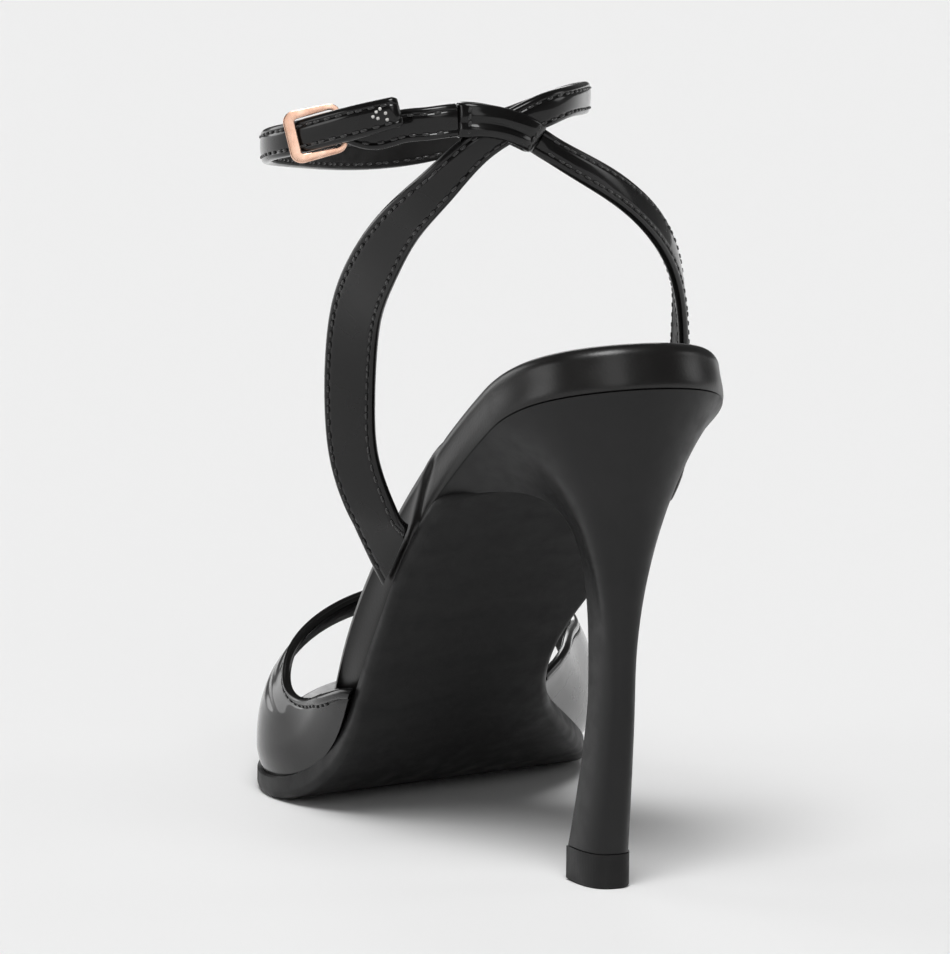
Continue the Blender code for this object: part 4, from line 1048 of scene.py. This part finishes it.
def fine_strap(name, node, centre, directions, width, thick=STRAP_THICK, crown=STRAP_CROWN, slant=None,
               tip=False, both=True, skip=(0.0, 0.0)):
    """A strap with padded outer face, rolled edges, lined inner face and a stitch line along each edge.

    slant leans its sections along it, tip rounds its far end, both stitches its inner face too, and skip
    keeps the stitches off its two ends.
    """
    along, across, out = directions
    count = len(centre)
    thick = np.broadcast_to(thick, count)
    walk = walk_of(centre)
    slant = np.zeros(count) if slant is None else slant

    def place(k, a, b):
        return centre[k] + across[k] * a + out[k] * b + along[k] * a * slant[k]

    points, kinds = [], []
    for k in range(count):
        left = (walk[-1] - walk[k]) / TIP_ROUND
        close = math.sqrt(max(0.0, 1 - (1 - left) ** 2)) if tip and left < 1 else 1.0
        half = width[k] / 2 - (1 - close) * TIP_NARROW
        rows = section(half, thick[k] / 2 * max(close, TIP_THIN), crown * close)
        kinds = [row[2] for row in rows]
        points += [place(k, a, b) for a, b, _ in rows]
    size = len(kinds)
    faces, index = [], []
    for k in range(count - 1):
        faces += [f[::-1] for f in band(k * size, (k + 1) * size, size)]
        index += kinds
    faces += [tuple(range(size)), tuple((count - 1) * size + i for i in range(size - 1, -1, -1))]
    index += [0, 0]
    settle(make_object(name, points, faces, [PATENT, LINING], index=index, sharp=60), node)
    marks = []
    for mark in np.arange(skip[0] + STITCH_START, walk[-1] - STITCH_START - skip[1], STITCH_PITCH):
        k = int(np.searchsorted(walk, mark))
        for edge in (1, -1):
            a = edge * (width[k] / 2 - STITCH_INSET)
            for face in ((1, -1) if both else (1,)):
                b = face * thick[k] / 2 + (crown * 0.5 - STITCH_SINK if face > 0 else LINING_STITCH)
                marks.append((place(k, a, b), along[k], out[k] * face))
    stitches(name + "_stitches", marks)


FOOT_REACH = 9 * MM           # a strap's foot turns to the sole's edge over this length
HOLD_REACH = 3 * MM           # and a sewn end to the sleeve's directions over this one


def seat_fine_foot(s, side, directions, walk):
    """Turns a strap's first stretch to the edge of the sole, and returns the slant along it."""
    edge = unit(flank_point(s + MM, side) - flank_point(s - MM, side))
    run = float(edge @ directions[0][0])
    level = unit(edge - run * directions[0][0])
    sign = math.copysign(1.0, float(level @ directions[1][0]))
    share = np.clip(1 - walk / FOOT_REACH, 0, 1)
    for k in range(int((walk < FOOT_REACH).sum())):
        along = directions[0][k]
        across = unit(directions[1][k] * (1 - share[k]) + sign * level * share[k])
        directions[1][k] = unit(across - along * float(across @ along))
        directions[2][k] = np.cross(directions[1][k], along)
    return sign * run / math.sqrt(1 - run ** 2) * share


def hold_end(directions, away, held):
    """Turns a strap's sewn end to the sleeve's directions; away is each point's distance from that end."""
    share = np.clip(1 - away / HOLD_REACH, 0, 1)[:, None]
    for i in range(2):
        directions[i] = unit(directions[i] * (1 - share) + held[i] * share)
    directions[2] = np.cross(directions[1], directions[0])


# The knots near the free end: how far back from it, and across, in MM
KNOTS = ((2.6, 0.9), (2.7, -0.3), (2.9, -1.3), (3.9, 0.3), (4.0, -0.9), (5.0, -0.2))
KNOT_LIFT = 0.2 * MM
KNOT_LENGTH, KNOT_RADIUS = 0.6 * MM, 0.3 * MM


def fine_lateral():
    """The outer strap and the ankle loop, with the knots near its free end."""
    centre, facing, width = lateral_path(FINE_STEP)
    directions = frames(centre, facing)
    slant = seat_fine_foot(LATERAL_ROOT, -1, directions, walk_of(centre))
    fine_strap("outer_strap", "lateral_strap", centre, directions, width, slant=slant, tip=True)
    along, across, out = directions
    marks = []
    for back, up in KNOTS:
        k = len(centre) - 1 - int(round(back * MM / FINE_STEP))
        spot = centre[k] + across[k] * up * MM + out[k] * (STRAP_THICK / 2 + KNOT_LIFT)
        marks.append((spot, along[k], out[k]))
    # these knots take the pale thread, whose colour is a painted highlight
    stitches("tip_knots_painted_glint", marks, PAINTED_GLINT_THREAD, KNOT_LENGTH, KNOT_RADIUS)


def fine_medial():
    """The inner strap, from the sole to the sleeve."""
    end, along, across = sleeve_end(-SLEEVE_LENGTH / 2 - END_GAP)
    start = flank_point(MEDIAL_ROOT, 1)[None]
    facing = column(MEDIAL_RISE, "facing")
    centre, facing, width = smooth_path(
        np.concatenate([start, strap_points(MEDIAL_RISE), [end - along * END_RUN, end]]),
        np.concatenate([facing[:1], facing, [BAND[0].facing, BAND[1].facing]]),
        np.concatenate([[MEDIAL_WIDTH], MEDIAL_WIDTH * column(MEDIAL_RISE, "width"), [MEDIAL_END] * 2]),
        FINE_STEP,
    )
    directions = frames(centre, facing)
    walk = walk_of(centre)
    lean = seat_fine_foot(MEDIAL_ROOT, 1, directions, walk)
    hold_end(directions, walk[-1] - walk, (along, across))
    fine_strap("inner_strap", "medial_strap", centre, directions, width, slant=lean, skip=(0, 1 * MM))


def fine_buckle_strap():
    """The short strap from the sleeve, turned back round the buckle's inner bar."""
    start, along, across = sleeve_end(SLEEVE_LENGTH / 2 + END_GAP)
    hold, b_along, b_across, b_out = buckle_frame()
    half_u = BUCKLE_LENGTH / 2 - BUCKLE_BAR
    bar = hold + b_along * half_u - b_out * INNER_BAR
    reach = WIRE_REACH * BUCKLE_BAR + GAP + FOLD_THICK / 2
    before_bar = bar + b_out * (reach - BUCKLE_ROOM) + b_along * BAR_RUN
    rows = BAND[3:]
    centre, facing, width = smooth_path(
        np.concatenate([[start, start + along * END_RUN], strap_points(rows), [before_bar]]),
        np.concatenate([[BAND[1].facing, BAND[2].facing], column(rows, "facing"), [BAND[-1].facing]]),
        np.full(len(rows) + 3, ANKLE_WIDTH), FINE_STEP,
    )
    directions = frames(centre, facing)
    hold_end(directions, walk_of(centre), (along, across))
    round_bar = np.radians(np.arange(0, 181, 10))
    curl = bar + reach * (np.outer(np.cos(round_bar), b_out) - np.outer(np.sin(round_bar), b_along))
    tail = curl[-1] + np.outer(np.linspace(0, 1, 10)[1:], b_along * FOLD_LENGTH + b_out * FOLD_CLOSE)
    turned = np.concatenate([curl, tail])
    heading = unit(np.gradient(turned, axis=0))
    heading[0] = -b_along
    sideways = np.repeat(-b_across[None], len(turned), 0)
    sideways *= np.sign(float(directions[1][-1] @ sideways[0]))
    fold = (heading, sideways, np.cross(sideways, heading))
    joined = [np.concatenate(pair) for pair in zip(directions, fold)]
    thinning = np.linspace(STRAP_THICK, 2 * FOLD_THICK - STRAP_THICK, len(centre))
    thick = np.concatenate([np.clip(thinning, FOLD_THICK, STRAP_THICK), np.full(len(turned), FOLD_THICK)])
    width = np.concatenate([width, np.full(len(turned), ANKLE_WIDTH - 2 * GAP)])
    fine_strap("buckle_strap_fine", "buckle_strap", np.concatenate([centre, turned]), joined, width,
               thick=thick, crown=FOLD_CROWN, both=False, skip=FOLD_SKIP)


SLEEVE_BOW = 1.3 * MM         # the sleeve's middle stands this far over the line between its ends
SLEEVE_TAPER = 0.07           # it is wider at the short strap's end
SLEEVE_UP = 0.7 * MM          # and its ends this far over the strap inside it
SLEEVE_LIP = 0.5 * MM         # rounding of its ends
SLEEVE_SEAM = 1.6 * MM        # from its ends to their stitches
SEAM_SPOTS = (-0.62, -0.2, 0.22, 0.64)  # the stitches' places across it
SEAM_STITCH = 1.1 * MM        # and their length
# The folds along the sleeve's outer face: place and width as shares of its half width, height in MM
Fold = namedtuple("Fold", "across width height")
FOLDS = (Fold(-0.55, 0.22, 0.42), Fold(-0.12, 0.16, -0.40), Fold(0.35, 0.30, 0.22))


def sleeve_arc(t):
    """How far the sleeve's middle line lies above its straight axis, and its slope."""
    half = SLEEVE_LENGTH / 2
    return SLEEVE_UP + SLEEVE_BOW * (1 - (t / half) ** 2), -2 * SLEEVE_BOW * t / half ** 2


def sleeve_end(t):
    """Where a strap meets the sleeve: the place, and the strap's along and across directions."""
    middle, along, across, _, _ = sleeve_frame()
    rise, slope = sleeve_arc(t)
    heading = unit(along + across * slope)
    return middle + along * t + across * rise, heading, unit(across - along * slope)


def fine_sleeve(count=120, steps=33):
    """The sleeve: a bowed tube with folds along its outer face, and stitches near both ends."""
    middle, along, across, out, slant = sleeve_frame()
    turn = np.linspace(0, 2 * math.pi, count, endpoint=False)
    level = signed_power(np.cos(turn), 2 / SLEEVE_POWER)
    height = signed_power(np.sin(turn), 2 / SLEEVE_POWER)
    rings = []
    for side in (1, -1):
        for w in np.linspace(-1, 1, steps)[::side]:
            lip = min(1.0, (1 - abs(w)) * SLEEVE_WIDTH / 2 / SLEEVE_LIP)
            rounding = math.sqrt(max(0.0, 1 - (1 - lip) ** 2))
            shell = SLEEVE_WALL * (0.5 + 0.5 * side * rounding)
            half_length = SLEEVE_LENGTH / 2 - (SLEEVE_WALL - shell)
            half_height = STRAP_THICK / 2 + SLEEVE_ROOM + shell + SLEEVE_PUFF * (1 - w ** 2)
            if side > 0:
                folds = sum(fold.height * hill(w - fold.across, fold.width) for fold in FOLDS)
                half_height = half_height + folds * MM * (1 - level ** 6) * (height > 0)
            t = half_length * level
            rise, slope = sleeve_arc(t)
            y = w * SLEEVE_WIDTH / 2 * (1 + SLEEVE_TAPER * level)
            rings.append(middle + np.outer(t - slope * y + slant * y, along) + np.outer(rise + y, across)
                         + np.outer(half_height * height, out))
    faces = []
    for k in range(len(rings)):
        faces += band(k * count, (k + 1) % len(rings) * count, count)
    settle(make_object("crossing_sleeve", np.concatenate(rings), faces, PATENT, sharp=60), "sleeve")
    marks = []
    for end in (1, -1):
        t = end * (SLEEVE_LENGTH / 2 - SLEEVE_SEAM)
        rise, slope = sleeve_arc(t)
        share = abs(t) / (SLEEVE_LENGTH / 2)
        for w in SEAM_SPOTS:
            y = w * SLEEVE_WIDTH / 2
            full = STRAP_THICK / 2 + SLEEVE_ROOM + SLEEVE_WALL + SLEEVE_PUFF * (1 - w ** 2)
            lift = full * (1 - share ** SLEEVE_POWER) ** (1 / SLEEVE_POWER)
            marks.append((middle + along * (t - slope * y) + across * (rise + y) + out * lift, across, out))
    stitches("sleeve_stitches", marks, length=SEAM_STITCH)


def rounded(half_u, half_v, radius, steps):
    """A rectangle's outline with round corners."""
    path = []
    for side_u, side_v, first in ((1, 1, 0), (-1, 1, 90), (-1, -1, 180), (1, -1, 270)):
        for turn in np.radians(np.linspace(first, first + 90, steps)):
            path.append((side_u * (half_u - radius) + radius * math.cos(turn),
                         side_v * (half_v - radius) + radius * math.sin(turn)))
    return np.array(path)


def fine_buckle():
    """The buckle: a wire bent to a frame that leans from its wide outer bar to its hidden inner bar."""
    middle, along, across, out = buckle_frame()
    half_u = BUCKLE_LENGTH / 2 - BUCKLE_BAR
    half_v = ANKLE_WIDTH / 2 + BUCKLE_SIDE + BUCKLE_BAR
    path = rounded(half_u, half_v, BUCKLE_CORNER, 12)
    count = len(path)
    lean = (OUTER_BAR + INNER_BAR) / (2 * half_u)
    centre = (middle + np.outer(path[:, 0], along) + np.outer(path[:, 1], across)
              + np.outer((OUTER_BAR - INNER_BAR) / 2 - lean * path[:, 0], out))
    tangent = unit(np.roll(centre, -1, 0) - np.roll(centre, 1, 0))
    plane = unit(np.cross(along - lean * out, across))
    side = unit(np.cross(tangent, plane))
    outer = np.clip((path[:, 0].min() + 2 * BUCKLE_CORNER - path[:, 0]) / (2 * BUCKLE_CORNER), 0, 1)
    wire = rounded(1, 1, 0.25, 5)
    points = []
    for k in range(count):
        wide = 1 + (BAR_WIDE - 1) * outer[k]
        points += [centre[k] + (side[k] * a * wide + plane * b) * BUCKLE_BAR for a, b in wire]
    faces = []
    for k in range(count):
        faces += [f[::-1] for f in band(k * len(wire), (k + 1) % count * len(wire), len(wire))]
    settle(make_object("buckle_frame_fine", points, faces, METAL, sharp=40), "buckle")


# Studio

# Soft panels of light far round the shoe: azimuth, elevation, half width, soft edge (degrees), brightness
PANELS = (
    (-32, 12, 13, 8, 2.6),
    (18, 20, 7, 5, 3.0),
    (-146, 64, 9, 4, 5.0),
    (98, 16, 8, 6, 1.8),
    (-86, 10, 9, 7, 3.0),
    (-166, 20, 10, 10, 1.5),
)
KEY_TURN = (math.radians(24), math.radians(-14), 0.0)
KEY_POWER = 2.28
KEY_SPREAD = math.radians(34)  # the key light's apparent size, which softens the shadow
SURROUND = 0.10               # brightness of the room round the shoe
FLOOR_SIZE, FLOOR_AHEAD = 24, 4
FLOOR_TONE = (0.80, 0.80, 0.80)


def surround(tree):
    """A dim room with soft panels of light in the given directions."""
    place = tree.nodes.new("ShaderNodeTexCoord")
    total = None
    for azimuth, elevation, half, edge, power in PANELS:
        a, e = math.radians(azimuth), math.radians(elevation)
        dot = tree.nodes.new("ShaderNodeVectorMath")
        dot.operation = "DOT_PRODUCT"
        dot.inputs[1].default_value = (math.sin(a) * math.cos(e), math.cos(a) * math.cos(e), math.sin(e))
        tree.links.new(place.outputs["Generated"], dot.inputs[0])
        glow = spread(tree, dot.outputs["Value"], 0, power, math.cos(math.radians(half + edge)),
                      math.cos(math.radians(half)))
        if total is None:
            total = glow
            continue
        add = tree.nodes.new("ShaderNodeMath")
        tree.links.new(total, add.inputs[0])
        tree.links.new(glow, add.inputs[1])
        total = add.outputs["Value"]
    add = tree.nodes.new("ShaderNodeMath")
    add.inputs[1].default_value = SURROUND
    tree.links.new(total, add.inputs[0])
    tree.links.new(add.outputs["Value"], tree.nodes["Background"].inputs["Strength"])


def studio():
    """The pale floor, the room's light and the key light."""
    bpy.ops.mesh.primitive_plane_add(size=FLOOR_SIZE, location=(0, FLOOR_AHEAD, 0))
    floor = bpy.context.object
    floor.name = "studio_floor"
    made, _, shader = principled("studio_floor", FLOOR_TONE, 1.0)
    shader.inputs["Specular IOR Level"].default_value = 0.0
    floor.data.materials.append(made)
    world = bpy.data.worlds.new("studio")
    world.use_nodes = True
    world.node_tree.nodes["Background"].inputs["Color"].default_value = (1.0, 1.0, 1.0, 1.0)
    surround(world.node_tree)
    bpy.context.scene.world = world
    key = bpy.data.lights.new("key_light", "SUN")
    key.energy, key.angle = KEY_POWER, KEY_SPREAD
    lamp = bpy.data.objects.new("key_light", key)
    lamp.rotation_euler = KEY_TURN
    bpy.context.scene.collection.objects.link(lamp)
    bpy.context.scene.view_settings.view_transform = "Standard"


AZIMUTH = math.radians(22.4)  # the camera stands behind the shoe, turned this far to its outer side
ELEVATION = math.radians(7.66)
CAMERA_ROLL = math.radians(0.78)
DISTANCE = 1.3                # from the aimed point to the camera
AIMED = (0.0, 0.045, 0.08)    # this point shows at AIMED_PIXEL
AIMED_PIXEL = (517.1, 428.2)
FOCAL = 6798.0                # focal length in the photograph's pixels
PICTURE = (950, 954)
SENSOR = 36.0


def camera():
    """The camera, turned so that AIMED shows at AIMED_PIXEL without a lens shift."""
    level = math.cos(ELEVATION)
    back = Vector((-math.sin(AZIMUTH) * level, -math.cos(AZIMUTH) * level, math.sin(ELEVATION)))
    place = Vector(AIMED) + back * DISTANCE
    ahead = -back
    right = ahead.cross(Vector((0, 0, 1))).normalized()
    up = right.cross(ahead)
    right, up = (right * math.cos(CAMERA_ROLL) + up * math.sin(CAMERA_ROLL),
                 up * math.cos(CAMERA_ROLL) - right * math.sin(CAMERA_ROLL))
    centre = (ahead + right * ((PICTURE[0] / 2 - AIMED_PIXEL[0]) / FOCAL)
              - up * ((PICTURE[1] / 2 - AIMED_PIXEL[1]) / FOCAL)).normalized()
    up = (up - centre * up.dot(centre)).normalized()
    right = centre.cross(up)
    data = bpy.data.cameras.new("camera")
    data.sensor_width = SENSOR
    data.lens = FOCAL / max(PICTURE) * SENSOR
    data.clip_end = 50
    obj = bpy.data.objects.new("camera", data)
    turn = Matrix((right, up, -centre)).transposed().to_4x4()
    obj.matrix_world = Matrix.Translation(place) @ turn
    bpy.context.scene.collection.objects.link(obj)
    bpy.context.scene.camera = obj


camera()
studio()
fine_insole()
fine_outsole()
fine_heel()
fine_vamp()
fine_lateral()
fine_medial()
fine_buckle_strap()
fine_sleeve()
fine_buckle()
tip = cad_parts["heel_tip"]
for slot in tip.material_slots:
    slot.material = RUBBER
